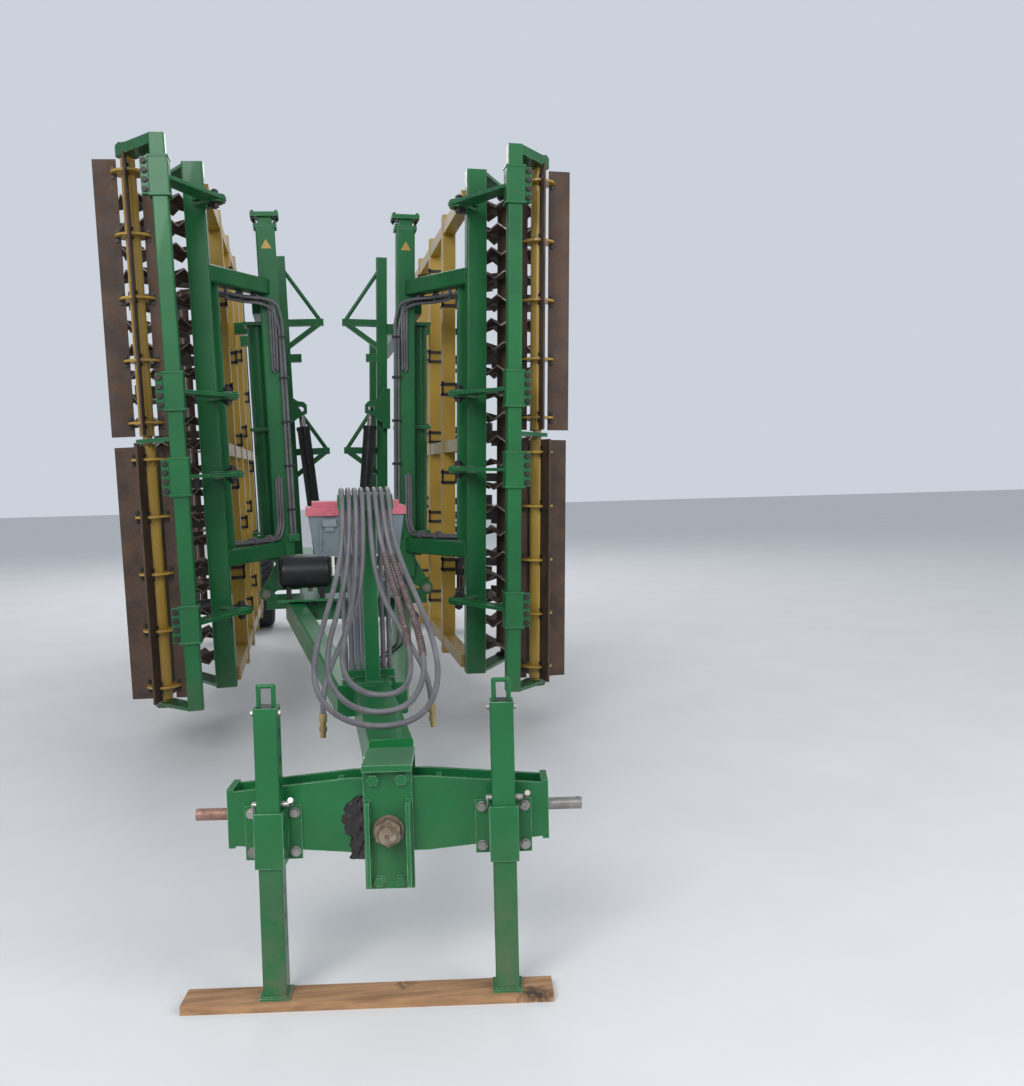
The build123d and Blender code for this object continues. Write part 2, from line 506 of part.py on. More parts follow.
# Main beam with its ring-roller hangers and the brackets of the knife rollers' swing plates
beam = tube(BEAM_X, BEAM_Y, (WING_LOW, WING_HIGH), BEAM_W, mouth=True)
for z in (WING_LOW, WING_HIGH - HANGER_T):
    beam += arm_plate((BEAM_X, BEAM_Y), (RING_X, RING_Y), 60, 55, (z, z + HANGER_T))
    beam -= upright(RING_X, RING_Y, (z - 1, z + HANGER_T + 1), RING_SHAFT_R + PIN_GAP)
for share in SWING_AT:
    for low in (up(share) - SWING_T / 2 - 12, up(share) + SWING_T / 2):
        beam += arm_plate((BEAM_X - 20, BEAM_Y), SWING_END, 62, SWING_R - 6, (low, low + 12))
wing("main_beam", beam)

# Carrier tube of the knife rollers, with housings, swing plates and bearing plates
knife_z = [(up(low), up(high)) for low, high in KNIFE_AT]
foot_z, head_z = knife_z[0][0] - BEARING_GAP, knife_z[1][1] + BEARING_GAP
bearings = [(foot_z - BEARING_T, foot_z), (knife_z[0][1] + MID_GAP, knife_z[1][0] - MID_GAP),
            (head_z, head_z + BEARING_TOP)]
carrier = tube(TUBE_X, TUBE_Y, (bearings[0][0], bearings[2][1]), TUBE_W, SMALL_CORNER)
for share in SWING_AT:
    housing = TUBE_W + 2 * HOUSING_WALL
    carrier += tube(TUBE_X, TUBE_Y, around(up(share), HOUSING_H), housing, SMALL_CORNER)
    carrier += arm_plate((TUBE_X, TUBE_Y), SWING_END, 50, SWING_R, around(up(share), SWING_T))
for low, high in bearings:
    carrier += arm_plate((TUBE_X, TUBE_Y), (KNIFE_X, KNIFE_Y), 48, 62, (low, high))
    carrier -= upright(KNIFE_X, KNIFE_Y, (low - 1, high + 1), KNIFE_SHAFT_R + PIN_GAP)
wing("knife_carrier", carrier)

# Knife rollers: flanges on a thin tube carry radial blades
for name, (low, high), past, turn in zip(("lower", "upper"), knife_z, KNIFE_PAST, KNIFE_TURN):
    roller = upright(0, 0, (low, high), KNIFE_TUBE_R)
    roller += upright(0, 0, (low - past[0], high + past[1]), KNIFE_SHAFT_R)
    step = (high - low - 2 * KNIFE_END) / (KNIFE_FLANGES - 1)
    for i in range(KNIFE_FLANGES):
        roller += upright(0, 0, around(low + KNIFE_END + i * step, KNIFE_FLANGE_T), KNIFE_FLANGE_R)
    blade = block((KNIFE_INNER, KNIFE_R), around(0, KNIFE_T), (low, high))
    for i in range(KNIFE_BLADES):
        roller += Rot(0, 0, turn + i * 360 / KNIFE_BLADES) * blade
    wing(f"knife_roller_{name}", Pos(KNIFE_X, KNIFE_Y, 0) * roller)


# Ring roller: rings on a hub tube, flat inside and waved up and down towards the rim
def waved_ring():
    steps = 2 * RING_WAVES
    turns = [2 * math.pi * k / steps for k in range(steps)]

    def circle(radius, height, wave):
        return [Vector(radius * math.cos(a), radius * math.sin(a), height + wave * (1 if k % 2 else -1))
                for k, a in enumerate(turns)]

    faces = []
    rims = []
    for half in (-RING_T / 2, RING_T / 2):
        bore, flat = circle(RING_SHAFT_R, half, 0), circle(RING_FLAT_R, half, 0)
        rim = circle(RING_R, half, RING_WAVE)
        rims.append((bore, rim))
        for k in range(steps):
            n = (k + 1) % steps
            faces.append((bore[k], bore[n], flat[n], flat[k]))
            faces.append((flat[k], flat[n], rim[k]))
            faces.append((flat[n], rim[n], rim[k]))
    (low_bore, low_rim), (high_bore, high_rim) = rims
    for k in range(steps):
        n = (k + 1) % steps
        faces.append((low_rim[k], low_rim[n], high_rim[n], high_rim[k]))
        faces.append((low_bore[k], low_bore[n], high_bore[n], high_bore[k]))
    return Solid(Shell([Face(Wire.make_polygon(f)) for f in faces]))


ring = waved_ring()
ring_ends = (WING_LOW + RING_END, WING_HIGH - RING_END)
roller = upright(0, 0, (WING_LOW + 2, WING_HIGH - 2), RING_SHAFT_R) + upright(0, 0, ring_ends, RING_HUB_R)
pitch = (ring_ends[1] - ring_ends[0] - 60) / (RING_COUNT - 1)
rings = [Pos(0, 0, ring_ends[0] + 30 + i * pitch) * Rot(0, 0, 11 * i) * ring for i in range(RING_COUNT)]
wing("ring_roller", Pos(RING_X, RING_Y, 0) * roller.fuse(*rings))


# Front column with its hinge knuckle, neck, T head and the thick round tube beside it
def knuckle(y):
    """A plate from the hinge pin up to the foot of a column."""
    near, far = COL_X + COL_W / 2, COL_X - COL_W / 2
    outline = [(HINGE_X + 40, HINGE_Z), (near, COL_FOOT + 120), (far, COL_FOOT + 120),
               (far, COL_FOOT), (HINGE_X - 40, HINGE_Z)]
    plate = plate_xz(outline, around(y, KNUCKLE_T))
    plate += rod((HINGE_X, y - KNUCKLE_T / 2, HINGE_Z), (HINGE_X, y + KNUCKLE_T / 2, HINGE_Z), 46)
    return plate - rod((HINGE_X, y - 40, HINGE_Z), (HINGE_X, y + 40, HINGE_Z), HINGE_PIN_R + PIN_GAP)


col_y = HINGE_Y[0]
col_top = up(COL_AT)
column = tube(COL_X, col_y, (COL_FOOT, col_top), COL_W) + knuckle(col_y)
column += tube(COL_X, col_y, (col_top, col_top + NECK_H), NECK_W, SMALL_CORNER)
for z, width in ((col_top - 10, COL_W + 26), (col_top + NECK_H, HEAD_W)):
    column += block(around(COL_X, width), around(col_y, width - 30), (z, z + HEAD_T))
round_z = [up(share) for share in ROUND_AT]
column += upright(ROUND_X, ROUND_Y, round_z, ROUND_R)
for z in (round_z[0], sum(round_z) / 2, round_z[1] - COLLAR_T):
    column += block((COL_X - COL_W / 2, ROUND_X + ROUND_R + COLLAR_PAST),
                    (col_y + COL_W / 2 - 1, ROUND_Y + ROUND_R + COLLAR_PAST), (z, z + COLLAR_T))
column += block(*LINE_BLOCK)
wing("front_column", column)

# Arms from the main beam to the front column, and the post that joins their outer ends behind the beam
arms = tube(ARM_POST_X, ARM_POST_Y, (up(ARMS_AT[0]), up(ARMS_AT[1])), ARM_POST_W, SMALL_CORNER)
for share in ARMS_AT:
    arms += bar((BEAM_X - 20, BEAM_Y + 20, up(share)), (COL_X + 20, col_y - 10, up(share)), ARM_W, ARM_H)
wing("arms", arms - beam - column)

# Inner frame: two spine beams, rear column, inner column with ears and triangle brackets
rear_y = HINGE_Y[1]
spine_x = around(SPINE_X, SPINE_W)
inner = tube(COL_X, rear_y, (COL_FOOT, up(SPINE_AT[1]) + SPINE_H), COL_W, mouth=True) + knuckle(rear_y)
for share in SPINE_AT:
    inner += block(spine_x, (col_y + COL_W / 2, rear_y), around(up(share), SPINE_H))
    inner += block((INNER_X, spine_x[0] + 5), around(INNER_Y, INNER_W - 20), around(up(share), SPINE_H - 20))
inner += tube(INNER_X, INNER_Y, [up(share) for share in INNER_AT], INNER_W, SMALL_CORNER, True)
face_x = INNER_X - INNER_W / 2
for apex_x, apex_z in APEXES:
    inner += block((apex_x, face_x + 5), around(INNER_Y, 60), around(apex_z, 50))
    inner += plate_xz([(apex_x + 15, apex_z - 20), (apex_x + 80, apex_z - 20), (face_x + 5, apex_z - 150),
                       (face_x + 5, apex_z - 195)], around(INNER_Y, 50))
    inner += rod((apex_x + 14, INNER_Y, apex_z), (INNER_X, INNER_Y, apex_z + 430), 15)
stub_z = up(STUB_AT)
inner += block((STUB_X[0], face_x + 5), around(INNER_Y, STUB_W), around(stub_z, STUB_W))
ear_y = (FOLD_Y - ROD_EYE / 2 - SIDE_GAP - EAR_T, FOLD_Y + ROD_EYE / 2 + SIDE_GAP)
ear_root = INNER_X + 50 - EAR[0]
ear_shape = ((-45, -30), (20, -60), (ear_root, -EAR_HIGH), (ear_root, EAR_HIGH), (20, 60), (-25, 52), (-45, 30))
for y in ear_y:
    inner += plate_xz([(EAR[0] + x, EAR[1] + z) for x, z in ear_shape], (y, y + EAR_T))
inner += block((INNER_X, INNER_X + 50), (ear_y[0], INNER_Y), around(EAR[1], 2 * EAR_HIGH))
inner -= rod((EAR[0], FOLD_Y - 80, EAR[1]), (EAR[0], FOLD_Y + 80, EAR[1]), FOLD_PIN_R)
rows = [y for y, share in TINE_ROWS]
for share in SPINE_AT:
    for y in rows[1:3]:
        inner += block((spine_x[1] - 1, POST_X - POST_W / 2), around(y, 80), around(up(share), 80))
wing("inner_frame", inner)

# Tine frame: posts across the work, rails between them and the links to the inner frame
posts_z = (WING_LOW - POST_PAST[0], WING_HIGH - POST_PAST[1])
wing("tine_posts", *[tube(POST_X, y, posts_z, POST_W, SMALL_CORNER, True) for y in rows])
fronts = [y - POST_W / 2 for y in rows] + [REAR_TUBE_Y - REAR_TUBE_W / 2]
backs = [y + POST_W / 2 for y in rows]
from_beam, from_post = BEAM_Y + BEAM_W / 2, ARM_POST_Y + ARM_POST_W / 2
rails = []
starts = ((posts_z[0] + RAIL_IN, from_beam), (up(RAIL_MID), from_post), (posts_z[1] - RAIL_IN, from_beam))
for z, first in starts:
    for near, far in zip([first] + backs, fronts):
        rails.append(block(around(POST_X, RAIL_SQ), (near, far), around(z, RAIL_SQ)))
wing("tine_rails", *rails)


# A tine in the XY plane, from the post's outer face: a flat spring bar bent in a C, a leg and a share
def tine(y, z):
    turn = math.radians(TINE_TURN)
    root = POST_X + POST_W / 2
    centre_x, centre_y = root + TINE_BEND + TINE_T / 2, y + 60
    leg = (TINE_DEPTH - TINE_BEND * (1 - math.cos(turn))) / math.sin(turn)
    sides = []
    for radius in (TINE_BEND - TINE_T / 2, TINE_BEND + TINE_T / 2):
        def at(angle):
            return (centre_x - radius * math.cos(angle), centre_y + radius * math.sin(angle), 0)
        far = at(turn)
        foot = (far[0] + leg * math.sin(turn), far[1] + leg * math.cos(turn), 0)
        sides.append(((centre_x - radius, y + TINE_START, 0), at(0), at(turn / 2), far, foot))
    inner_side, outer_side = sides
    edges = [Line(inner_side[0], inner_side[1]), ThreePointArc(*inner_side[1:4])]
    edges += [Line(inner_side[3], inner_side[4]), Line(inner_side[4], outer_side[4])]
    edges += [Line(outer_side[4], outer_side[3]), ThreePointArc(*outer_side[3:0:-1])]
    edges += [Line(outer_side[1], outer_side[0]), Line(outer_side[0], inner_side[0])]
    spring = Pos(0, 0, z - TINE_W / 2) * extrude(make_face(Wire(edges)), TINE_W, dir=(0, 0, 1))
    tip_y = inner_side[4][1] - 75
    back = (inner_side[4][0] - 70, inner_side[4][1] + 50)
    blade = [(SOIL_X, tip_y), (back[0] + 8, back[1] + 12), (back[0] - 4, back[1] + 4), (SOIL_X - 14, tip_y)]
    share = plate_xy(blade, around(z, SHARE_W))
    clamp = block((root, root + CLAMP_T), around(y - 8, POST_W - 20), around(z, CLAMP_H))
    clamp -= block((root + 0.5, root + TINE_T), (y + TINE_START, y + 60), around(z, TINE_W))
    bands = None
    for d in (-1, 1):
        band = block((POST_X - POST_W / 2 - BAND_T, root + 2), around(y, POST_W + 2 * BAND_T),
                     around(z + d * (CLAMP_H - BAND_H) / 2, BAND_H))
        bands = band if bands is None else bands + band
    bands -= tube(POST_X, y, around(z, CLAMP_H + 10), POST_W, SMALL_CORNER)
    return spring + share + clamp + bands


tines = []
for (y, first), count in zip(TINE_ROWS, TINE_COUNTS):
    tines += [tine(y, up(first + i * TINE_PITCH)) for i in range(count)]
wing("tines", *tines)

# Rear carrier and its bar roller
rear = tube(POST_X, REAR_TUBE_Y, posts_z, REAR_TUBE_W, SMALL_CORNER, True)
for z in (posts_z[0], posts_z[1] - HANGER_T):
    rear += arm_plate((POST_X, REAR_TUBE_Y), (REAR_X, REAR_Y), 40, 50, (z, z + HANGER_T))
    rear -= upright(REAR_X, REAR_Y, (z - 1, z + HANGER_T + 1), RING_SHAFT_R + PIN_GAP)
wing("rear_carrier", rear)

roller = upright(0, 0, (posts_z[0] + 2, posts_z[1] - 2), RING_SHAFT_R)
for i in range(REAR_DISCS):
    z = posts_z[0] + 45 + i * (posts_z[1] - posts_z[0] - 90) / (REAR_DISCS - 1)
    roller += upright(0, 0, around(z, 12), REAR_R - 15)
for i in range(REAR_BARS):
    roller += Rot(0, 0, i * 360 / REAR_BARS) * block((REAR_R - 30, REAR_R), around(0, 30),
                                                    (posts_z[0] + 39, posts_z[1] - 39))
wing("rear_roller", Pos(REAR_X, REAR_Y, 0) * roller)

# Fold cylinders, drawn at their parked length between the base pin and the ears
base = Vector(base_x, FOLD_Y, base_z)
lean = math.radians(LEAN)
ear_dx, ear_dz = EAR[0] - HINGE_X, EAR[1] - HINGE_Z
eye = Vector(HINGE_X + ear_dx * math.cos(lean) + ear_dz * math.sin(lean), FOLD_Y,
             HINGE_Z - ear_dx * math.sin(lean) + ear_dz * math.cos(lean))
run = (eye - base).normalized()
length = (eye - base).length
gland = length - GLAND_SHORT


def along(distance):
    point = base + run * distance
    return (point.X, point.Y, point.Z)


def eye_at(centre, radius, width, bore):
    x, y, z = centre.X, centre.Y, centre.Z
    across = rod((x, y - width / 2, z), (x, y + width / 2, z), radius)
    return across, rod((x, y - width, z), (x, y + width, z), bore)


boss, hole = eye_at(base, 42, BARREL_EYE, FOLD_PIN_R + PIN_GAP)
barrel = rod(along(60), along(gland), BARREL_R) + rod(along(0), along(60), 32) + boss
barrel -= rod(along(90), along(gland + 1), BARREL_R - BARREL_WALL)
barrel -= hole
cap = rod(along(gland - 40), along(gland), BARREL_R)
barrel += cap - rod(along(gland - 41), along(gland + 1), ROD_R + PIN_GAP)
boss, hole = eye_at(eye, 38, ROD_EYE, FOLD_PIN_R)
piston = rod(along(120), along(length - 25), ROD_R)
piston += rod(along(120), along(180), BARREL_R - BARREL_WALL - SLIDE_GAP)
piston = piston + boss - hole
for name, flip in (("right", False), ("left", True)):
    save(f"fold_barrel_{name}", mirrored(barrel) if flip else barrel)
    save(f"fold_rod_{name}", mirrored(piston) if flip else piston)

wing("wing_lines", *[hose(points, LINE_R) for points in WING_LINES])
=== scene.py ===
import math
import json
import bpy
import bmesh
import numpy as np
from mathutils import Matrix, Vector


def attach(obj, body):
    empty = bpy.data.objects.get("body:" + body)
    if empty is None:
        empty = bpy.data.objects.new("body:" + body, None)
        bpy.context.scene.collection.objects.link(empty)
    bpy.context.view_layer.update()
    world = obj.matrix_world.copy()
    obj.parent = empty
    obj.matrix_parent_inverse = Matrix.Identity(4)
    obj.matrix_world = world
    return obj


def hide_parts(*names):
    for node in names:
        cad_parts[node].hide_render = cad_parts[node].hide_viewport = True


# Looks of the folded field cultivator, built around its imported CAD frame. Metres, +Z up, -Y the towing end.

bpy.ops.wm.read_factory_settings(use_empty=True)
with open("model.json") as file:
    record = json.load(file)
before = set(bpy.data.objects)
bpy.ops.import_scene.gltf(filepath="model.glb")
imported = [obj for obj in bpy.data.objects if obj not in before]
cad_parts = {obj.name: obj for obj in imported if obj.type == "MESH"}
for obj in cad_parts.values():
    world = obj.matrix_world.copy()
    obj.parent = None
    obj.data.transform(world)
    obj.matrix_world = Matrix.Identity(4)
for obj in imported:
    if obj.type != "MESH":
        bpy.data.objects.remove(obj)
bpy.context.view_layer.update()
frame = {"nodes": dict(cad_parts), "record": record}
nodes = frame["nodes"]
print("frame loaded", len(nodes))

# Camera, fitted to the reference view: place, heading to the right of +Y, tilt down, roll, and the focal
# length and the view's height in its pixels
cameraView = {"place": (-0.254, -7.605, 1.584), "yaw": 10.518, "down": 3.901, "roll": -1.264, "focal": 1108.5,
              "viewHeight": 1086, "sensor": 24, "clipEnd": 200}


def makeCamera(s):
    yaw, down, roll = (math.radians(s[k]) for k in ("yaw", "down", "roll"))
    forward = Vector((math.sin(yaw) * math.cos(down), math.cos(yaw) * math.cos(down), -math.sin(down)))
    level = Vector((math.cos(yaw), -math.sin(yaw), 0))
    top = level.cross(forward)
    right = level * math.cos(roll) + top * math.sin(roll)
    upward = top * math.cos(roll) - level * math.sin(roll)
    data = bpy.data.cameras.new("camera")
    data.sensor_fit = "VERTICAL"
    data.sensor_height = s["sensor"]
    data.lens = s["focal"] / s["viewHeight"] * s["sensor"]
    data.clip_end = s["clipEnd"]
    camera = bpy.data.objects.new("camera", data)
    axes = Matrix((right, upward, -forward)).transposed().to_4x4()
    camera.matrix_world = Matrix.Translation(s["place"]) @ axes
    bpy.context.scene.collection.objects.link(camera)
    bpy.context.scene.camera = camera


makeCamera(cameraView)


# Each input of a node gets a value, or a link from another node's socket.
def feed(tree, node, inputs):
    for at, value in inputs.items():
        if hasattr(value, "is_linked"):
            tree.links.new(value, node.inputs[at])
        else:
            node.inputs[at].default_value = value
    return node


def addNode(tree, kind, inputs, **options):
    node = tree.nodes.new("ShaderNode" + kind)
    for key, value in options.items():
        setattr(node, key, value)
    return feed(tree, node, inputs)


# Numbers that the looks share. A noise is its detail and roughness, or scale, detail and roughness; a ramp
# is from and to.
grain = {"noise": (4, 0.55), "ramp": (0.35, 0.65), "patchNoise": (8, 0.7), "bumpNoise": (5, 0.6),
         "dustNoise": (9, 8, 0.7), "dustRamp": (0.35, 0.7), "cornerRamp": (0.98, 0.86),
         "wearNoise": (14, 6, 0.65), "wearRamp": (0.32, 0.62), "bevelSamples": 6}


# Materials: two colours mixed by noise of a scale, a third in patches for dirt or rust, and a fine bump,
# all on Object coordinates. Patches are (scale, from, to), a bump is (strength, scale, depth).
def makeMaterial(name, s, g):
    made = bpy.data.materials.new(name)
    made.use_nodes = True
    tree = made.node_tree
    where = addNode(tree, "TexCoord", {}).outputs["Object"]

    def noise(scale, detail, rough, stretch=None):
        source = where
        if stretch:
            source = addNode(tree, "Mapping", {"Vector": where, "Scale": stretch}).outputs["Vector"]
        values = {"Vector": source, "Scale": scale, "Detail": detail, "Roughness": rough}
        return addNode(tree, "TexNoise", values).outputs["Fac"]

    def ramp(value, low, high):
        values = {"Value": value, "From Min": low, "From Max": high}
        return addNode(tree, "MapRange", values).outputs["Result"]

    def product(a, b):
        return addNode(tree, "Math", {0: a, 1: b}, operation="MULTIPLY").outputs[0]

    def mix(factor, a, b):
        a, b = (value if hasattr(value, "is_linked") else (*value, 1) for value in (a, b))
        return addNode(tree, "Mix", {"Factor": factor, 6: a, 7: b}, data_type="RGBA").outputs[2]

    stretch = s.get("stretch")
    colour = mix(ramp(noise(s["scale"], *g["noise"], stretch), *g["ramp"]), s["light"], s["dark"])
    patchScale, patchFrom, patchTo = s["patches"]
    patch = ramp(noise(patchScale, *g["patchNoise"]), patchFrom, patchTo)
    colour = mix(patch, colour, s["patch"])
    if "low" in s:
        # dust or mud that fades out with height, in grains
        height = addNode(tree, "SeparateXYZ", {0: where}).outputs["Z"]
        dust = product(ramp(height, s["lowTo"], 0.0), ramp(noise(*g["dustNoise"]), *g["dustRamp"]))
        colour = mix(dust, colour, s["low"])
    if "edge" in s:
        # paler corners, worn paint with a painted highlight on the edges: where the rounded normal leans away
        # from the true one, broken up by noise
        bevel = addNode(tree, "Bevel", {"Radius": s["edgeWidth"]}, samples=g["bevelSamples"])
        true = addNode(tree, "NewGeometry", {}).outputs["Normal"]
        both = {0: bevel.outputs["Normal"], 1: true}
        agree = addNode(tree, "VectorMath", both, operation="DOT_PRODUCT").outputs["Value"]
        edgeWearAndHighlight = product(ramp(agree, *g["cornerRamp"]), ramp(noise(*g["wearNoise"]), *g["wearRamp"]))
        colour = mix(edgeWearAndHighlight, colour, s["edge"])
    low, high = s["rough"]
    rough = addNode(tree, "MapRange", {"Value": patch, "To Min": low, "To Max": high}).outputs["Result"]
    strength, bumpScale, depth = s["bump"]
    relief = {"Height": noise(bumpScale, *g["bumpNoise"], stretch), "Strength": strength, "Distance": depth}
    feed(tree, tree.nodes["Principled BSDF"], {
        "Base Color": colour, "Roughness": rough, "Metallic": s.get("metal", 0.0),
        "Specular IOR Level": s.get("specular", 0.5), "Coat Weight": s.get("coat", 0.0),
        "Normal": addNode(tree, "Bump", relief).outputs["Normal"]})
    return made


looks = {
    "green_paint": {
        "light": (0.011, 0.13, 0.036), "dark": (0.007, 0.092, 0.028), "patch": (0.035, 0.1, 0.04),
        # edge: a paler green on the corners, worn paint with a painted highlight
        "edge": (0.24, 0.44, 0.28), "edgeWidth": 0.004, "low": (0.11, 0.1, 0.07), "lowTo": 0.55,
        "scale": 2.2, "patches": (7, 0.6, 0.85), "bump": (0.06, 35, 0.002), "rough": (0.35, 0.6),
        "specular": 0.25, "coat": 0.12},
    "yellow_paint": {
        "light": (0.44, 0.275, 0.032), "dark": (0.35, 0.205, 0.025), "patch": (0.22, 0.13, 0.03),
        "low": (0.25, 0.17, 0.08), "lowTo": 0.6, "scale": 2.5, "patches": (8, 0.62, 0.86),
        "bump": (0.06, 35, 0.002), "rough": (0.38, 0.7), "coat": 0.2},
    "rusty_steel": {
        "light": (0.085, 0.05, 0.034), "dark": (0.04, 0.027, 0.021), "patch": (0.135, 0.068, 0.035),
        "scale": 6, "patches": (14, 0.48, 0.75), "bump": (0.5, 90, 0.003), "rough": (0.6, 0.9),
        "metal": 0.35},
    "dark_steel": {
        "light": (0.04, 0.037, 0.034), "dark": (0.02, 0.019, 0.019), "patch": (0.085, 0.058, 0.04),
        "scale": 8, "patches": (16, 0.56, 0.8), "bump": (0.3, 80, 0.002), "rough": (0.45, 0.8),
        "metal": 0.5},
    "bright_steel": {
        "light": (0.36, 0.345, 0.325), "dark": (0.23, 0.215, 0.2), "patch": (0.11, 0.085, 0.065),
        "scale": 9, "patches": (12, 0.54, 0.8), "bump": (0.12, 70, 0.002), "rough": (0.36, 0.65),
        "metal": 0.8},
    "wood": {
        "light": (0.36, 0.2, 0.095), "dark": (0.22, 0.115, 0.055), "patch": (0.045, 0.028, 0.018),
        "scale": 3.5, "stretch": (1.4, 14, 14), "patches": (5, 0.57, 0.66), "bump": (0.5, 22, 0.003),
        "rough": (0.75, 0.9)},
    "tyre": {
        "light": (0.028, 0.028, 0.028), "dark": (0.018, 0.018, 0.019), "patch": (0.07, 0.062, 0.052),
        "scale": 4, "patches": (6, 0.56, 0.72), "bump": (0.3, 110, 0.002), "rough": (0.75, 0.95)},
    "black_paint": {
        "light": (0.016, 0.016, 0.018), "dark": (0.009, 0.009, 0.01), "patch": (0.05, 0.045, 0.04),
        "scale": 4, "patches": (9, 0.6, 0.72), "bump": (0.08, 60, 0.002), "rough": (0.35, 0.6),
        "specular": 0.3},
    "box_grey": {
        "light": (0.125, 0.16, 0.18), "dark": (0.09, 0.118, 0.135), "patch": (0.09, 0.1, 0.1), "scale": 5,
        "patches": (10, 0.56, 0.72), "bump": (0.2, 160, 0.002), "rough": (0.5, 0.75)},
    "box_red": {
        "light": (0.46, 0.105, 0.145), "dark": (0.35, 0.075, 0.1), "patch": (0.3, 0.1, 0.1), "scale": 5,
        "patches": (9, 0.6, 0.72), "bump": (0.2, 160, 0.002), "rough": (0.5, 0.75)},
    "hose_rubber": {
        "light": (0.125, 0.12, 0.13), "dark": (0.075, 0.072, 0.08), "patch": (0.16, 0.135, 0.11),
        "scale": 7, "patches": (12, 0.58, 0.72), "bump": (0.25, 200, 0.001), "rough": (0.5, 0.8)},
    "pale_plastic": {
        "light": (0.72, 0.71, 0.66), "dark": (0.58, 0.57, 0.53), "patch": (0.35, 0.32, 0.27), "scale": 8,
        "patches": (14, 0.6, 0.72), "bump": (0.1, 60, 0.002), "rough": (0.45, 0.7)},
    "worn_steel": {
        "light": (0.3, 0.26, 0.23), "dark": (0.17, 0.135, 0.115), "patch": (0.09, 0.06, 0.045), "scale": 12,
        "patches": (20, 0.5, 0.72), "bump": (0.2, 90, 0.002), "rough": (0.35, 0.6), "metal": 0.7},
    "wrap_brown": {
        "light": (0.17, 0.095, 0.085), "dark": (0.1, 0.06, 0.055), "patch": (0.3, 0.26, 0.24), "scale": 14,
        "patches": (25, 0.55, 0.72), "bump": (0.1, 60, 0.002), "rough": (0.4, 0.65)},
    "brass": {
        "light": (0.4, 0.29, 0.13), "dark": (0.26, 0.18, 0.085), "patch": (0.12, 0.085, 0.05), "scale": 22,
        "patches": (30, 0.55, 0.72), "bump": (0.15, 60, 0.002), "rough": (0.3, 0.55), "metal": 0.6},
    "old_grease": {
        "light": (0.018, 0.011, 0.01), "dark": (0.006, 0.005, 0.005), "patch": (0.04, 0.022, 0.018),
        "scale": 22, "patches": (40, 0.58, 0.72), "bump": (0.6, 90, 0.003), "rough": (0.25, 0.6)},
    # the box's grey made lighter for the latches: painted highlight
    "latch_grey_highlit": {
        "light": (0.2, 0.235, 0.26), "dark": (0.14, 0.165, 0.185), "patch": (0.12, 0.12, 0.12), "scale": 9,
        "patches": (18, 0.56, 0.72), "bump": (0.1, 60, 0.002), "rough": (0.4, 0.6)},
    "rusty_pin": {
        "light": (0.32, 0.19, 0.15), "dark": (0.22, 0.11, 0.08), "patch": (0.12, 0.055, 0.035), "scale": 20,
        "patches": (30, 0.5, 0.72), "bump": (0.3, 120, 0.002), "rough": (0.5, 0.8), "metal": 0.4},
    "greasy_steel": {
        "light": (0.3, 0.24, 0.18), "dark": (0.16, 0.11, 0.075), "patch": (0.055, 0.04, 0.03), "scale": 26,
        "patches": (34, 0.5, 0.72), "bump": (0.6, 60, 0.003), "rough": (0.3, 0.6), "metal": 0.35},
}
materials = {name: makeMaterial(name, s, grain) for name, s in looks.items()}
slotOf = {row["node"]: row["material_slot"] for row in frame["record"]["subparts"]}


def dress(obj, look):
    obj.data.materials.clear()
    obj.data.materials.append(materials[look])


for name, obj in nodes.items():
    dress(obj, slotOf[name])
for name in ("coupler_left", "coupler_right"):
    dress(nodes[name], "brass")
print("materials done", len(materials))


# Shapes: every builder returns a list of (vertices, faces). The faces of a grid of rings join each ring's
# points to the next's; a closed grid joins its last ring to its first, an open one has end faces.
def gridFaces(rings, sides, closed=False):
    j, k = np.meshgrid(np.arange(rings if closed else rings - 1), np.arange(sides), indexing="ij")
    m, n = (j + 1) % rings, (k + 1) % sides
    corners = [j * sides + k, j * sides + n, m * sides + n, m * sides + k]
    walls = np.stack(corners, axis=-1).reshape(-1, 4).tolist()
    ends = [list(range(sides))[::-1], list(range((rings - 1) * sides, rings * sides))]
    return walls if closed else walls + ends


# So many angles round a full turn.
def turns(count):
    return np.linspace(0, 2 * np.pi, count, endpoint=False)


# Two unit vectors across each direction in an N x 3 array.
def ringFrame(along):
    along = along / np.linalg.norm(along, axis=1)[:, None]
    helper = np.where(np.abs(along[:, 2:3]) < 0.9, [[0.0, 0.0, 1.0]], [[1.0, 0.0, 0.0]])
    first = np.cross(along, helper)
    first /= np.linalg.norm(first, axis=1)[:, None]
    return first, np.cross(along, first)


# Bars from each start to each end: a point is the end plus the radius times the cosine and sine of its
# angle along two directions across the bar.
def rods(starts, ends, radius, sides=12):
    starts, ends = np.atleast_2d(np.array(starts, float)), np.atleast_2d(np.array(ends, float))
    first, second = ringFrame(ends - starts)
    angle = turns(sides)[None, :, None]
    circle = radius * (np.cos(angle) * first[:, None] + np.sin(angle) * second[:, None])
    verts = np.stack([starts[:, None] + circle, ends[:, None] + circle], axis=1).reshape(-1, 3)
    base = (np.arange(len(starts)) * 2 * sides)[:, None]
    k = np.arange(sides)
    n = (k + 1) % sides
    walls = np.stack([base + k, base + n, base + sides + n, base + sides + k], axis=2).reshape(-1, 4)
    caps = np.concatenate([base + k[::-1], base + sides + k])
    return [(verts, walls.tolist() + caps.tolist())]


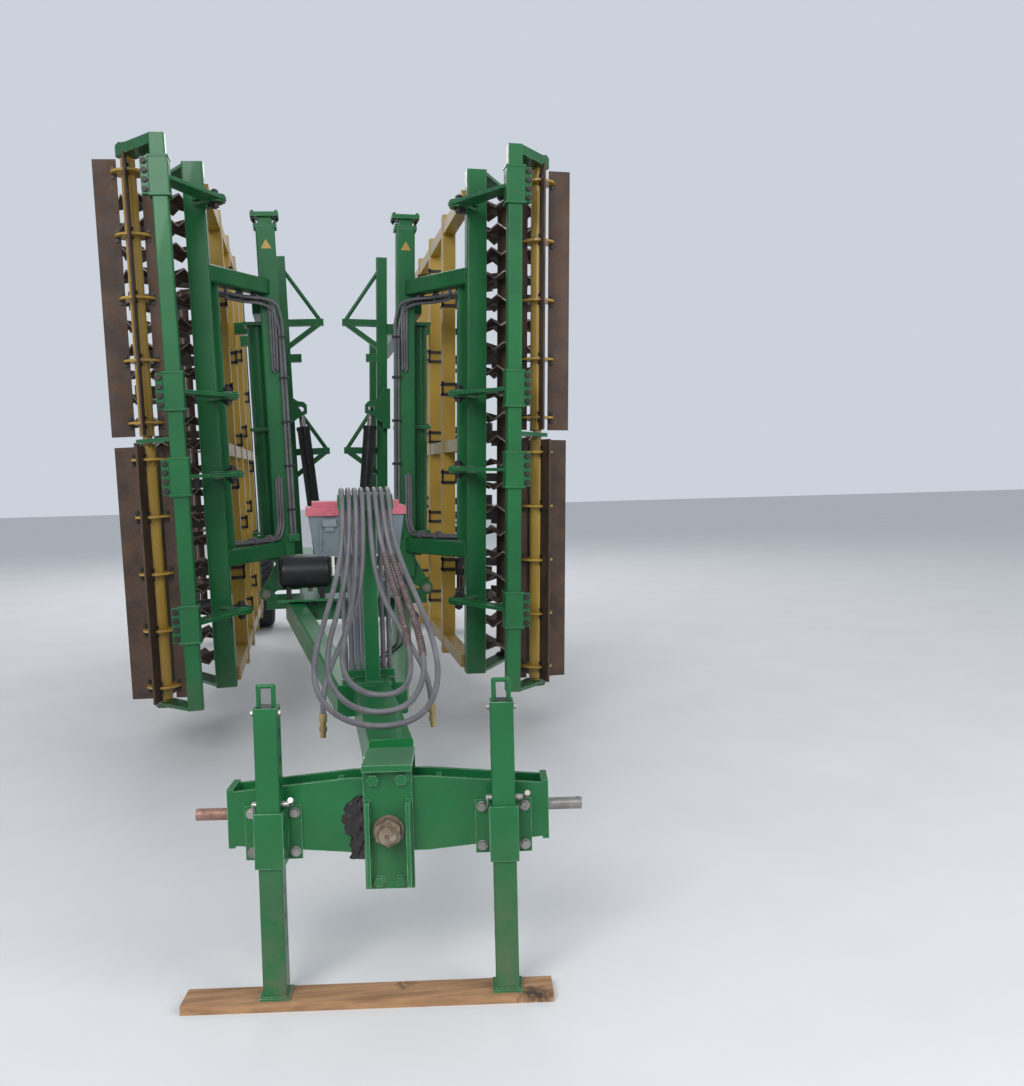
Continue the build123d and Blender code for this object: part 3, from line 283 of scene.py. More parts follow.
# Boxes along the axes: a corner is the centre plus or minus half the size.
def boxes(centres, sizes):
    centres = np.atleast_2d(np.array(centres, float))
    sizes = np.broadcast_to(np.atleast_2d(np.array(sizes, float)), centres.shape)
    corner = np.array([[x, y, z] for z in (-0.5, 0.5) for y in (-0.5, 0.5) for x in (-0.5, 0.5)])
    verts = (centres[:, None] + corner[None] * sizes[:, None]).reshape(-1, 3)
    quads = np.array([[0, 2, 3, 1], [4, 5, 7, 6], [0, 1, 5, 4], [2, 6, 7, 3], [0, 4, 6, 2], [1, 3, 7, 5]])
    faces = ((np.arange(len(centres)) * 8)[:, None, None] + quads[None]).reshape(-1, 4)
    return [(verts, faces.tolist())]


# A profile of (distance along the axis, radius) turned about an axis: a point is the centre plus the
# distance along the axis, plus the radius times the cosine and sine of its angle across it. With a bore the
# profile closes on itself.
def lathe(profile, centre, axis, sides=48, bore=False):
    profile = np.array(profile, float)
    axis = np.array([axis], float)
    first, second = ringFrame(axis)
    axis = axis / np.linalg.norm(axis)
    angle = turns(sides)
    across = np.cos(angle)[:, None] * first + np.sin(angle)[:, None] * second
    verts = np.array(centre, float) + profile[:, None, :1] * axis[None] + profile[:, None, 1:] * across[None]
    return [(verts.reshape(-1, 3), gridFaces(len(profile), sides, bore))]


# A flat outline of x and z, pushed from one y to another.
def prism(outline, near, far):
    layers = [np.insert(np.array(outline, float), 1, y, axis=1) for y in (near, far)]
    return [(np.concatenate(layers), gridFaces(2, len(outline)))]


# Directions along a line of points, and two across it that turn no more than the line does.
def carried(points):
    along = np.gradient(points, axis=0)
    along /= np.linalg.norm(along, axis=1)[:, None]
    first = np.zeros_like(along)
    carry = ringFrame(along[:1])[0][0]
    for i, way in enumerate(along):
        carry = carry - way * (carry @ way)
        carry /= np.linalg.norm(carry)
        first[i] = carry
    return along, first, np.cross(along, first)


# A round bar through a list of points: a point is the line's, plus the radius times the cosine and sine of
# its angle along the two directions carried with the line.
def swept(points, radius, sides=10):
    points = np.array(points, float)
    along, first, second = carried(points)
    angle = turns(sides)[None, :, None]
    verts = points[:, None] + radius * (np.cos(angle) * first[:, None] + np.sin(angle) * second[:, None])
    return [(verts.reshape(-1, 3), gridFaces(len(points), sides))]


# The points with each inner corner made a parabola that starts and ends at the distance from it, or at most
# that share of a side.
def rounded(points, distance, steps=6, most=0.45):
    points = [np.array(p, float) for p in points]
    made = [points[0]]
    for a, b, c in zip(points, points[1:], points[2:]):
        into, out = np.linalg.norm(b - a), np.linalg.norm(c - b)
        cut = min(distance, into * most, out * most)
        start, end = b - (b - a) / into * cut, b + (c - b) / out * cut
        for t in np.linspace(0, 1, steps + 1):
            made.append((1 - t) ** 2 * start + 2 * t * (1 - t) * b + t * t * end)
    made.append(points[-1])
    return made


# Hexagon heads on washers, standing out of a face along the axis, with a shank's end past the head. The
# shares are those of the size, which is nearly twice the shank's width.
boltShares = {"washer": 0.14, "washerRadius": 0.72, "head": 0.42, "headRadius": 0.56, "shankRadius": 0.28}


def bolts(places, axis, size, shank=0.0):
    s = {key: share * size for key, share in boltShares.items()}
    places = np.atleast_2d(np.array(places, float))
    axis = np.array(axis, float) / np.linalg.norm(axis)
    foot, top = places + axis * s["washer"], places + axis * (s["washer"] + s["head"])
    made = rods(places, foot, s["washerRadius"], 16) + rods(foot, top, s["headRadius"], 6)
    if shank:
        made += rods(foot, top + axis * shank, s["shankRadius"], 8)
    return made


sharpFrom, bevelFrom = 38, 40  # degrees between faces


# One mesh object from built parts, dressed, bevelled where asked, riding on a body. A mirroring place turns
# the faces round. The normals are then recalculated outwards.
def make(name, parts, look, body, matrix=None, smooth=False, edge=0.0, slotName=None):
    verts, faces, offset = [], [], 0
    for v, f in parts:
        verts.append(v)
        faces += [[i + offset for i in face] for face in f]
        offset += len(v)
    verts = np.concatenate(verts)
    if matrix is not None:
        m = np.array(matrix)
        verts = verts @ m[:3, :3].T + m[:3, 3]
        if np.linalg.det(m[:3, :3]) < 0:
            faces = [face[::-1] for face in faces]
    data = bpy.data.meshes.new(name)
    data.from_pydata(verts.tolist(), [], faces)
    data.validate()
    shell = bmesh.new()
    shell.from_mesh(data)
    bmesh.ops.recalc_face_normals(shell, faces=shell.faces)
    shell.to_mesh(data)
    shell.free()
    obj = bpy.data.objects.new(name, data)
    bpy.context.scene.collection.objects.link(obj)
    if smooth:
        data.shade_smooth()
        data.set_sharp_from_angle(angle=math.radians(sharpFrom))
    if edge:
        bevel = obj.modifiers.new("edge", "BEVEL")
        bevel.width = edge
        bevel.segments = 2
        bevel.limit_method = "ANGLE"
        bevel.angle_limit = math.radians(bevelFrom)
    dress(obj, look)
    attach(obj, body)
    return obj


# Placing: the headstock is turned about the king pin, each wing leans about its hinge line
placing = {"hingeX": 0.520, "hingeZ": 0.800, "lean": 1.5, "kingY": -4.060, "headYaw": -8.6, "wingLow": 0.327,
           "wingHigh": 3.380}
sides = {"left": -1, "right": 1}


def turnAbout(point, degrees, axis):
    turn = Matrix.Rotation(math.radians(degrees), 4, axis)
    return Matrix.Translation(point) @ turn @ Matrix.Translation([-value for value in point])


headPlace = turnAbout((0, placing["kingY"], 0), placing["headYaw"], "Z")
rightPlace = turnAbout((placing["hingeX"], 0, placing["hingeZ"]), placing["lean"], "Y")
onHead = ("headstock", headPlace)
wingPlaces = {"left": Matrix.Scale(-1, 4, (1, 0, 0)) @ rightPlace, "right": rightPlace}


# A height up the wing from a share of the main beam's length.
def up(share):
    return placing["wingLow"] + share * (placing["wingHigh"] - placing["wingLow"])


# Cords: three hoses hang in long loops over the post's saddle and two end in couplers. Each has the x of
# its crossings over the saddle, its length and its hanging points. It rises behind the post at each.
riseYZ = ((-2.824, 0.730), (-2.824, 0.835), (-2.820, 0.985), (-2.818, 1.145), (-2.822, 1.300))
saddle = {"y": -2.950, "z": 1.394, "radius": 0.112, "turns": (67.5, 22.5, -22.5, -67.5)}
hoseRadius = 0.0105
hoseLoops = {
    "outer": ((-0.106, 0.083), 4.599, (
        (-0.112, -3.085, 1.315), (-0.136, -3.150, 1.175), (-0.186, -3.300, 1.040), (-0.242, -3.500, 0.910),
        (-0.244, -3.725, 0.812), (-0.160, -3.912, 0.752), (-0.015, -3.992, 0.736), (0.120, -3.935, 0.760),
        (0.192, -3.765, 0.845), (0.195, -3.545, 0.960), (0.164, -3.345, 1.075), (0.122, -3.185, 1.195),
        (0.092, -3.092, 1.320))),
    "middle": ((-0.079, 0.056), 4.398, (
        (-0.084, -3.080, 1.315), (-0.102, -3.130, 1.175), (-0.140, -3.262, 1.050), (-0.192, -3.450, 0.925),
        (-0.196, -3.660, 0.836), (-0.132, -3.845, 0.783), (-0.020, -3.915, 0.768), (0.084, -3.862, 0.786),
        (0.148, -3.705, 0.858), (0.152, -3.500, 0.960), (0.128, -3.314, 1.070), (0.096, -3.165, 1.190),
        (0.066, -3.086, 1.320))),
    "inner": ((-0.052, 0.029), 4.156, (
        (-0.055, -3.075, 1.315), (-0.064, -3.112, 1.175), (-0.086, -3.228, 1.060), (-0.128, -3.400, 0.945),
        (-0.144, -3.565, 0.880), (-0.124, -3.700, 0.838), (-0.066, -3.790, 0.812), (0.020, -3.802, 0.806),
        (0.082, -3.730, 0.826), (0.108, -3.590, 0.880), (0.106, -3.430, 0.972), (0.092, -3.285, 1.070),
        (0.066, -3.148, 1.188), (0.038, -3.080, 1.320))),
    "left": ((-0.025,), 1.850, (
        (-0.027, -3.071, 1.315), (-0.036, -3.098, 1.175), (-0.068, -3.170, 1.050), (-0.122, -3.245, 0.935),
        (-0.180, -3.300, 0.830), (-0.212, -3.325, 0.730), (-0.214, -3.330, 0.655))),
    "right": ((0.002,), 1.841, (
        (0.004, -3.071, 1.315), (0.014, -3.098, 1.175), (0.048, -3.168, 1.055), (0.105, -3.240, 0.945),
        (0.165, -3.300, 0.845), (0.200, -3.330, 0.750), (0.204, -3.338, 0.672))),
}


# Corners about the saddle's arch, rear to front: its radius and the hose's own, over the cosine of half a
# step.
def overSaddle(x, s):
    out = s["radius"] / math.cos(math.radians((s["turns"][0] - s["turns"][1]) / 2))
    return [(x, s["y"] + out * math.sin(a), s["z"] + out * math.cos(a)) for a in np.radians(s["turns"])]


def cordCurve(name, points, radius):
    data = bpy.data.curves.new(name, "CURVE")
    data.dimensions = "3D"
    data.bevel_depth = radius
    data.bevel_resolution = 5
    data.use_fill_caps = True
    data.resolution_u = 12
    spline = data.splines.new("NURBS")
    spline.points.add(len(points) - 1)
    for point, place in zip(spline.points, points):
        point.co = (*place, 1)
    spline.order_u = 3
    spline.use_endpoint_u = True
    obj = bpy.data.objects.new(name, data)
    bpy.context.scene.collection.objects.link(obj)
    dress(obj, "hose_rubber")
    return obj


# The curve near its points from number low to high: a parabola from each side's middle to the next.
def curvePoints(points, low, high, steps=24):
    p = np.array(points, float)
    middle = (p[:-1] + p[1:]) / 2
    t = np.linspace(0, 1, steps, endpoint=False)[:, None]
    return np.concatenate([(1 - t) ** 2 * middle[i - 1] + 2 * t * (1 - t) * p[i] + t * t * middle[i]
                           for i in range(low, high)])


# A plastic spiral round two of the loops: its angle grows with the length along the line, over the pitch.
wrapSettings = {"pitch": 0.014, "radius": 0.0122, "wire": 0.0026, "perTurn": 14, "sides": 6}


def spiralWrap(name, points, s):
    along, first, second = carried(points)
    gone = np.concatenate([[0], np.cumsum(np.linalg.norm(np.diff(points, axis=0), axis=1))])
    fine = np.linspace(0, gone[-1], int(gone[-1] / s["pitch"] * s["perTurn"]))
    angle = fine / s["pitch"] * 2 * np.pi
    line, first, second = (np.stack([np.interp(fine, gone, a[:, k]) for k in range(3)], 1)
                           for a in (points, first, second))
    coil = line + s["radius"] * (np.cos(angle)[:, None] * first + np.sin(angle)[:, None] * second)
    return make(name, swept(coil, s["wire"], s["sides"]), "wrap_brown", "chassis", smooth=True,
                slotName="hose_rubber")


for name, (crossings, length, hanging) in hoseLoops.items():
    rising = [[(x, y, z) for y, z in riseYZ] + overSaddle(x, saddle) for x in crossings]
    route = rising[0] + list(hanging)
    if len(crossings) > 1:
        route += rising[1][::-1]
    cordObject = cordCurve("cordHose_" + name, route, hoseRadius)
    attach(cordObject, "chassis")
    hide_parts("hose_" + name)
    pieces = [nodes["coupler_" + name]] if len(crossings) == 1 else []
    if name in ("inner", "middle"):
        last = len(route) - len(rising[1])
        pieces.append(spiralWrap("hoseWrap_" + name, curvePoints(route, last - 4, last - 1), wrapSettings))
print("cords done")


# Faces of a node repainted by where they lie, in the axes of the given place. A choice takes the corners'
# places, N x 3, and says which count; a face needs all of its own.
def repaint(node, look, place, *choices):
    data = nodes[node].data
    co = np.empty(len(data.vertices) * 3)
    data.vertices.foreach_get("co", co)
    back = np.array(place.inverted())
    local = co.reshape(-1, 3) @ back[:3, :3].T + back[:3, 3]
    corner = np.empty(len(data.loops), int)
    data.loops.foreach_get("vertex_index", corner)
    start = np.empty(len(data.polygons), int)
    data.polygons.foreach_get("loop_start", start)
    whole = np.any([np.logical_and.reduceat(chosen(local)[corner], start) for chosen in choices], axis=0)
    index = np.empty(len(data.polygons), int)
    data.polygons.foreach_get("material_index", index)
    index[whole] = len(data.materials)
    data.materials.append(materials[look])
    data.polygons.foreach_set("material_index", index)
    data.update()


# The corners' distances from an upright axis.
def reach(x, y):
    return lambda local: np.hypot(local[:, 0] - x, local[:, 1] - y)


# Headstock: link pins of bare steel, the left one rusty, the roll pin's greasy end, and bolts. Front faces
# are given as y, a row of plate bolts as its x to both sides, z and size.
headSettings = {
    "face": -4.315, "plateFace": -4.331, "sleeveFace": -4.322, "pinYZ": (-4.259, 0.55), "pinRadius": 0.0195,
    "pinFrom": 0.4815, "plateBolts": ((0.042, 0.663, 0.032), (0.032, 0.352, 0.028)),
    "rollPin": (0, -4.3713, 0.508),
    "rollPinProfile": ((0, 0.029), (0.024, 0.029), (0.03, 0.025), (0.03, 0.008), (0.022, 0.004)),
    "sleeveX": 0.345, "sleeveBoltX": 0.064, "sleeveBoltZ": (0.448, 0.567), "sleeveBolt": 0.023,
    "lip": (-0.074, -4.168), "lipBoltZ": (0.645, 0.68), "lipBolt": 0.02}


def headstockDetails(s):
    front = (0, -1, 0)

    def onPin(p, side):
        off = np.hypot(p[:, 1] - s["pinYZ"][0], p[:, 2] - s["pinYZ"][1])
        return (off < s["pinRadius"]) & (side * p[:, 0] > s["pinFrom"])

    repaint("crossbar", "rusty_pin", headPlace, lambda p: onPin(p, -1))
    repaint("crossbar", "bright_steel", headPlace, lambda p: onPin(p, 1))
    repaint("yoke", "greasy_steel", headPlace, lambda p: p[:, 1] < s["plateFace"])
    made = []
    for x, z, size in s["plateBolts"]:
        made += bolts([(-x, s["plateFace"], z), (x, s["plateFace"], z)], front, size)
    make("centrePlateBolts", made, "green_paint", *onHead, edge=0.001)
    make("rollPinEnd", lathe(s["rollPinProfile"], s["rollPin"], front, 40), "greasy_steel", "yoke", headPlace,
         smooth=True)
    spots = [(side * s["sleeveX"] + d * s["sleeveBoltX"], s["sleeveFace"], z)
             for side in (-1, 1) for d in (-1, 1) for z in s["sleeveBoltZ"]]
    made = bolts(spots, front, s["sleeveBolt"])
    make("sleeveBolts", made, "bright_steel", *onHead, edge=0.0008)
    spots = [(*s["lip"], z) for z in s["lipBoltZ"]]
    make("lipBolts", bolts(spots, (-1, 0, 0), s["lipBolt"]), "bright_steel", *onHead)


headstockDetails(headSettings)

# Legs: black discs on the holes and a black sheet on the open top, painted shade for their dark insides, a
# bolt across the top, a pin above each sleeve with a bent handle and a ring, placed from its centre
legSettings = {
    "x": 0.345, "y": -4.3648, "half": 0.035, "holeZ": (0.19, 0.27, 0.35, 0.66, 0.74, 0.82), "hole": 0.0115,
    "mouth": 0.0004, "topShadeZ": 0.9002, "topShadeSize": (0.058, 0.058, 0.0008), "boltYZ": (-4.3768, 0.882),
    "bolt": 0.016, "pinZ": 0.606, "pinReach": 0.052, "pinRadius": 0.009, "handleRadius": 0.008,
    "handle": ((0.052, 0, 0), (0.062, 0, 0), (0.07, -0.03, 0.016), (0.07, -0.056, 0.028)), "bend": 0.01,
    "ring": (-0.047, 0, -0.011), "ringSize": (0.013, 0.015), "ringWire": 0.0022}


def legDetails(name, side, s):
    x = side * s["x"]
    holes = [(x + d * s["half"], s["y"], z) for d in (-1, 1) for z in s["holeZ"]]
    mouths = [(x + d * (s["half"] + s["mouth"]), s["y"], z) for d in (-1, 1) for z in s["holeZ"]]
    # black discs over the holes and a black sheet on the open top: painted shade for their dark insides
    made = rods(holes, mouths, s["hole"], 20) + boxes([(x, s["y"], s["topShadeZ"])], [s["topShadeSize"]])
    make("legHoleShade_" + name, made, "black_paint", "leg_" + name, headPlace)
    made = []
    for d in (1, -1):
        made += bolts([(x + d * s["half"], *s["boltYZ"])], (d, 0, 0), s["bolt"])
    make("legTopBolt_" + name, made, "bright_steel", "leg_" + name, headPlace)
    centre, end = np.array((x, s["y"], s["pinZ"])), np.array((s["pinReach"], 0, 0))
    made = rods(centre - end, centre + end, s["pinRadius"], 20)
    made += swept(rounded([centre + p for p in s["handle"]], s["bend"]), s["handleRadius"], 12)
    turn = np.linspace(0, 2 * np.pi, 25)
    wide, tall = s["ringSize"]
    ring = centre + s["ring"] + np.stack([0 * turn, wide * np.sin(turn), tall * np.cos(turn)], 1)
    made += swept(ring, s["ringWire"], 8)
    make("legPin_" + name, made, "bright_steel", "leg_" + name, headPlace, smooth=True)


for name, side in sides.items():
    legDetails(name, side, legSettings)
print("headstock and legs done")

# Knife rollers: yellow tube and discs, rusty blades, each bolted to the brackets at every disc. A level is
# its low and high end as shares of the wing's height, and the blades' turn in degrees.
knifeSettings = {
    "axis": (1.067, -1.23), "levels": {"lower": (0.0098, 0.4684, 12), "upper": (0.4867, 0.9742, 0)},
    "endGap": 0.072, "discs": 5, "disc": 0.1, "discHalf": 0.0065, "tube": 0.045, "blades": 4,
    "boltOut": 0.083, "boltLift": 0.005, "boltPitch": 0.024, "bolt": 0.017}
ringSettings = {"axis": (1.04, -0.33), "brightFrom": 0.222}
rearSettings = {"axis": (1.11, 3.2)}


def knifeDetails(name, level, s):
    low, high, turned = s["levels"][level]
    node = "knife_roller_" + level + "_" + name
    near = reach(*s["axis"])
    discZ = np.linspace(up(low) + s["endGap"], up(high) - s["endGap"], s["discs"])
    discs = [lambda p, z=z: (near(p) < s["disc"]) & (np.abs(p[:, 2] - z) < s["discHalf"]) for z in discZ]
    repaint(node, "yellow_paint", wingPlaces[name], lambda p: near(p) < s["tube"], *discs)
    made = []
    for blade in range(s["blades"]):
        angle = math.radians(turned + blade * 360 / s["blades"])
        outward = np.array((math.cos(angle), math.sin(angle)))
        across = np.array((-math.sin(angle), math.cos(angle)))
        for facing in (-1, 1):
            spot = s["axis"] + outward * s["boltOut"] + across * facing * s["boltLift"]
            places = [(*spot, z + d * s["boltPitch"]) for z in discZ for d in (-1, 1)]
            made += bolts(places, (*(across * facing), 0), s["bolt"])
    make("knifeBolts_" + level + "_" + name, made, "dark_steel", node, wingPlaces[name])


def ringDetails(name, s):
    rim = reach(*s["axis"])
    repaint("ring_roller_" + name, "worn_steel", wingPlaces[name], lambda p: rim(p) > s["brightFrom"])


for name in sides:
    for level in knifeSettings["levels"]:
        knifeDetails(name, level, knifeSettings)
    ringDetails(name, ringSettings)
print("rollers done")


# A piece of one wing, modelled in the right wing's place before it leans, mirrored for the left.
def onWing(label, name, parts, look, **finish):
    make(label + "_" + name, parts, look, "wing_" + name, wingPlaces[name], **finish)


# Bearings at the rollers' ends, flanged and bolted. A spot is its axis, height, facing, bore and share of
# the full depth. The rear roller's low one is flat and has no bolts, as the wings nearly meet there.
bearingSettings = {
    "section": ((0, 0.058), (0.007, 0.058), (0.01, 0.043), (0.017, 0.038)), "boltCircle": 0.049,
    "boltTurns": (45, 135, 225, 315), "boltLift": 0.007, "bolt": 0.013,
    "spots": ((knifeSettings["axis"], up(knifeSettings["levels"]["lower"][0]) - 0.032, -1, 0.026, 1),
              (knifeSettings["axis"], up(knifeSettings["levels"]["upper"][1]) + 0.066, 1, 0.001, 1),
              (ringSettings["axis"], up(0) + 0.018, 1, 0.029, 1),
              (ringSettings["axis"], up(1) - 0.018, -1, 0.029, 1),
              (rearSettings["axis"], up(0) - 0.035, -1, 0.029, 0.4),
              (rearSettings["axis"], up(1) - 0.044, 1, 0.029, 1))}


def bearings(name, s):
    made = []
    for (x, y), z, facing, bore, depth in s["spots"]:
        section = [(0, bore), *s["section"], (s["section"][-1][0], bore)]
        made += lathe([(a * depth, r) for a, r in section], (x, y, z), (0, 0, facing), 40, True)
        if depth == 1:
            out, lift = s["boltCircle"], facing * s["boltLift"]
            circle = [(x + out * math.cos(a), y + out * math.sin(a), z + lift)
                      for a in np.radians(s["boltTurns"])]
            made += bolts(circle, (0, 0, facing), s["bolt"])
    onWing("bearings", name, made, "dark_steel", smooth=True)


# Swing plates: two flanges and two collars on each housing, bolts through the flanges and at the pivots.
# Heights are shares of the wing's, the rest is placed from the housing's tube and the pivot.
swingSettings = {
    "shares": (0.152, 0.411, 0.559, 0.924), "tube": (0.882, -1.468), "flangeSize": (0.042, 0.024, 0.19),
    "flangeX": 0.07, "flangeY": (-0.03, 0.002), "collarSize": (0.112, 0.112, 0.012), "collarZ": 0.098,
    "boltX": 0.072, "boltY": -0.042, "boltZ": (-0.072, -0.024, 0.024, 0.072), "bolt": 0.024,
    "pivot": (0.64, -0.985), "pivotZ": 0.021, "pivotBolt": 0.046, "pivotEnd": 0.008,
    "lockXY": (0.03, 0.04), "lockBolt": 0.022}


def swingDetails(name, s):
    flanges, heads = [], []
    tubeX, tubeY = s["tube"]
    for z in (up(share) for share in s["shares"]):
        flanges += boxes([(tubeX + s["flangeX"], tubeY + d, z) for d in s["flangeY"]], [s["flangeSize"]])
        flanges += boxes([(tubeX, tubeY, z + d * s["collarZ"]) for d in (-1, 1)], [s["collarSize"]])
        spots = [(tubeX + s["boltX"], tubeY + s["boltY"], z + d) for d in s["boltZ"]]
        heads += bolts(spots, (0, -1, 0), s["bolt"])
        for facing in (-1, 1):
            at = np.array((*s["pivot"], z + facing * s["pivotZ"]))
            heads += bolts([at], (0, 0, facing), s["pivotBolt"], shank=s["pivotEnd"])
            heads += bolts([at + (*s["lockXY"], 0)], (0, 0, facing), s["lockBolt"])
    onWing("housingFlanges", name, flanges, "green_paint", edge=0.002)
    onWing("swingBolts", name, heads, "dark_steel")


# Front column: bolts on its head plates and by its arms, clips over the oil lines. A head row is its
# corners' x and y, height over the column's end, facing and shank; an arm row a share and a lift.
columnSettings = {
    "centre": (0.385, -0.25), "end": 0.922, "bolt": 0.018,
    "head": ((0.06, 0.045, 0.016, 1, 0.006), (0.074, 0.058, 0.06, -1, 0.006), (0.074, 0.058, 0.086, 1, 0)),
    "arms": ((0.271, 0.02), (0.5, 0.02), (0.731, 0)), "armX": (0.37, 0.42), "armY": -0.165,
    "clips": (0.324, -0.3225), "clipZ": (1.34, 1.62, 1.9, 2.18, 2.44), "clipSize": (0.062, 0.025, 0.018)}


def columnDetails(name, s):
    made = []
    (x, y), end = s["centre"], up(s["end"])
    for a, b, lift, facing, shank in s["head"]:
        corners = [(x + d * a, y + e * b, end + lift) for d in (-1, 1) for e in (-1, 1)]
        made += bolts(corners, (0, 0, facing), s["bolt"], shank=shank)
    for share, lift in s["arms"]:
        made += bolts([(a, s["armY"], up(share) + lift) for a in s["armX"]], (0, 0, 1), s["bolt"])
    onWing("columnBolts", name, made, "dark_steel")
    made = boxes([(*s["clips"], z) for z in s["clipZ"]], [s["clipSize"]])
    onWing("lineClips", name, made, "black_paint", edge=0.002)


# Tines: two bars and a stud that hold each to its rail, and four bolt heads on its clamp. A row is its y,
# the first tine's share of the wing's height and the number of tines, a step of that height apart.
tineSettings = {
    "rows": ((0.15, 0.1942, 4), (0.95, 0.0934, 5), (1.75, 0.1238, 5), (2.55, 0.2309, 4)), "step": 0.2,
    "bar": (0.722, -0.052), "barZ": 0.035, "barSize": (0.108, 0.012, 0.02), "stud": (0.674, -0.05),
    "studSize": (0.013, 0.016, 0.09), "nutZ": 0.045, "nut": 0.016, "clamp": (0.791, -0.008),
    "clampYZ": (0.024, 0.036), "clampBolt": 0.012}


def tineDetails(name, s):
    tines = [(y, up(first + s["step"] * i)) for y, first, count in s["rows"] for i in range(count)]
    (barX, barY), (studX, studY), (clampX, clampY) = s["bar"], s["stud"], s["clamp"]
    made = boxes([(barX, y + barY, z + d * s["barZ"]) for y, z in tines for d in (-1, 1)], [s["barSize"]])
    made += boxes([(studX, y + studY, z) for y, z in tines], [s["studSize"]])
    made += bolts([(studX, y + studY, z + s["nutZ"]) for y, z in tines], (0, 0, 1), s["nut"])
    onWing("tineBands", name, made, "dark_steel")
    a, b = s["clampYZ"]
    spots = [(clampX, y + clampY + d * a, z + e * b) for y, z in tines for d in (-1, 1) for e in (-1, 1)]
    onWing("tineBolts", name, bolts(spots, (1, 0, 0), s["clampBolt"]), "dark_steel")


# Bundled oil lines: under each upper arm, over each lower one, then along the front column. Each is the
# bundle's path moved by an offset. Bands hold the bundles. The blank sign is in x and z.
bundleSettings = {
    "upper": ((0.700, -0.640, 2.690), (0.620, -0.520, 2.692), (0.520, -0.400, 2.690), (0.430, -0.345, 2.690),
              (0.372, -0.338, 2.640), (0.372, -0.332, 2.420), (0.376, -0.330, 2.240)),
    "lower": ((0.700, -0.690, 1.170), (0.600, -0.560, 1.166), (0.500, -0.440, 1.164), (0.420, -0.350, 1.172),
              (0.398, -0.332, 1.260), (0.398, -0.330, 1.420), (0.396, -0.330, 1.560)),
    "offsets": ((0, 0, 0), (0.016, 0.006, -0.014), (-0.016, -0.004, -0.012), (0.004, 0.010, -0.026)),
    "bend": 0.07, "line": 0.0085, "band": 0.030, "bandRun": (0.012, -0.015, 0),
    "bands": ((0.560, -0.455, 2.684), (0.470, -0.370, 2.684), (0.560, -0.515, 1.158), (0.470, -0.405, 1.158)),
    "sign": ((0.352, 3.000), (0.418, 3.000), (0.385, 3.058)), "signY": (-0.3112, -0.3102)}


def bundleDetails(name, s):
    made = []
    for points in (s["upper"], s["lower"]):
        for offset in s["offsets"]:
            made += swept(rounded([np.array(p) + offset for p in points], s["bend"]), s["line"], 10)
    bands = np.array(s["bands"])
    made += rods(bands, bands + s["bandRun"], s["band"], 20)
    onWing("lineBundles", name, made, "hose_rubber", smooth=True)
    onWing("blankSign", name, prism(s["sign"], *s["signY"]), "yellow_paint")


for name in sides:
    bearings(name, bearingSettings)
    swingDetails(name, swingSettings)
    columnDetails(name, columnSettings)
    tineDetails(name, tineSettings)
    bundleDetails(name, bundleSettings)
print("wings done")

# Toolbox: tabs on the lid over two latches, and three ribs. A row is y, z and a size.
toolboxSettings = {
    "latchX": (-0.15, 0.09), "ribX": (-0.19, -0.03, 0.13),
    "tabs": ((-2.573, 1.394, (0.046, 0.006, 0.02)), (-2.548, 1.425, (0.06, 0.022, 0.012))),
    "latches": ((-2.567, 1.352, (0.062, 0.014, 0.034)), (-2.564, 1.328, (0.04, 0.008, 0.03))),
    "ribs": ((-2.562, 1.285, (0.012, 0.006, 0.12)),)}


def toolboxDetails(s):
    def rowsOf(key, across):
        return sum((boxes([(x, y, z) for x in s[across]], [size]) for y, z, size in s[key]), [])

    make("lidTabs", rowsOf("tabs", "latchX"), "box_red", "toolbox_lid", edge=0.002)
    # latches in a lighter copy of the box's grey: painted highlight
    make("latches", rowsOf("latches", "latchX"), "latch_grey_highlit", "chassis", edge=0.003, slotName="box_grey")
    make("boxRibs", rowsOf("ribs", "ribX"), "box_grey", "chassis", edge=0.002)


toolboxDetails(toolboxSettings)

# Air tank: two straps, a pale tag of two boxes at its end, an end boss along x and a drain along z
tankSettings = {
    "centre": (-0.7, 0.975), "strapX": (-0.385, -0.185),
    "strap": ((0, 0.1032), (0, 0.1065), (0.03, 0.1065), (0.03, 0.1032)),
    "tagAt": ((-0.098, -0.735, 1.005), (-0.104, -0.72, 0.965)),
    "tagSizes": ((0.018, 0.03, 0.115), (0.02, 0.03, 0.02)), "boss": (-0.112, -0.09),
    "drain": (-0.24, -0.7), "drainZ": (0.874, 0.85), "fitting": 0.016}


def tankDetails(s):
    made = []
    for x in s["strapX"]:
        made += lathe(s["strap"], (x, *s["centre"]), (1, 0, 0), 64, True)
    make("tankStraps", made, "black_paint", "chassis", smooth=True)
    made = boxes(s["tagAt"], s["tagSizes"])
    make("tankTag", made, "pale_plastic", "chassis", edge=0.002, slotName="box_grey")
    bossStart, bossEnd = ((x, *s["centre"]) for x in s["boss"])
    drainStart, drainEnd = ((*s["drain"], z) for z in s["drainZ"])
    made = rods([bossStart, drainStart], [bossEnd, drainEnd], s["fitting"], 6)
    make("tankFittings", made, "bright_steel", "chassis")


tankDetails(tankSettings)

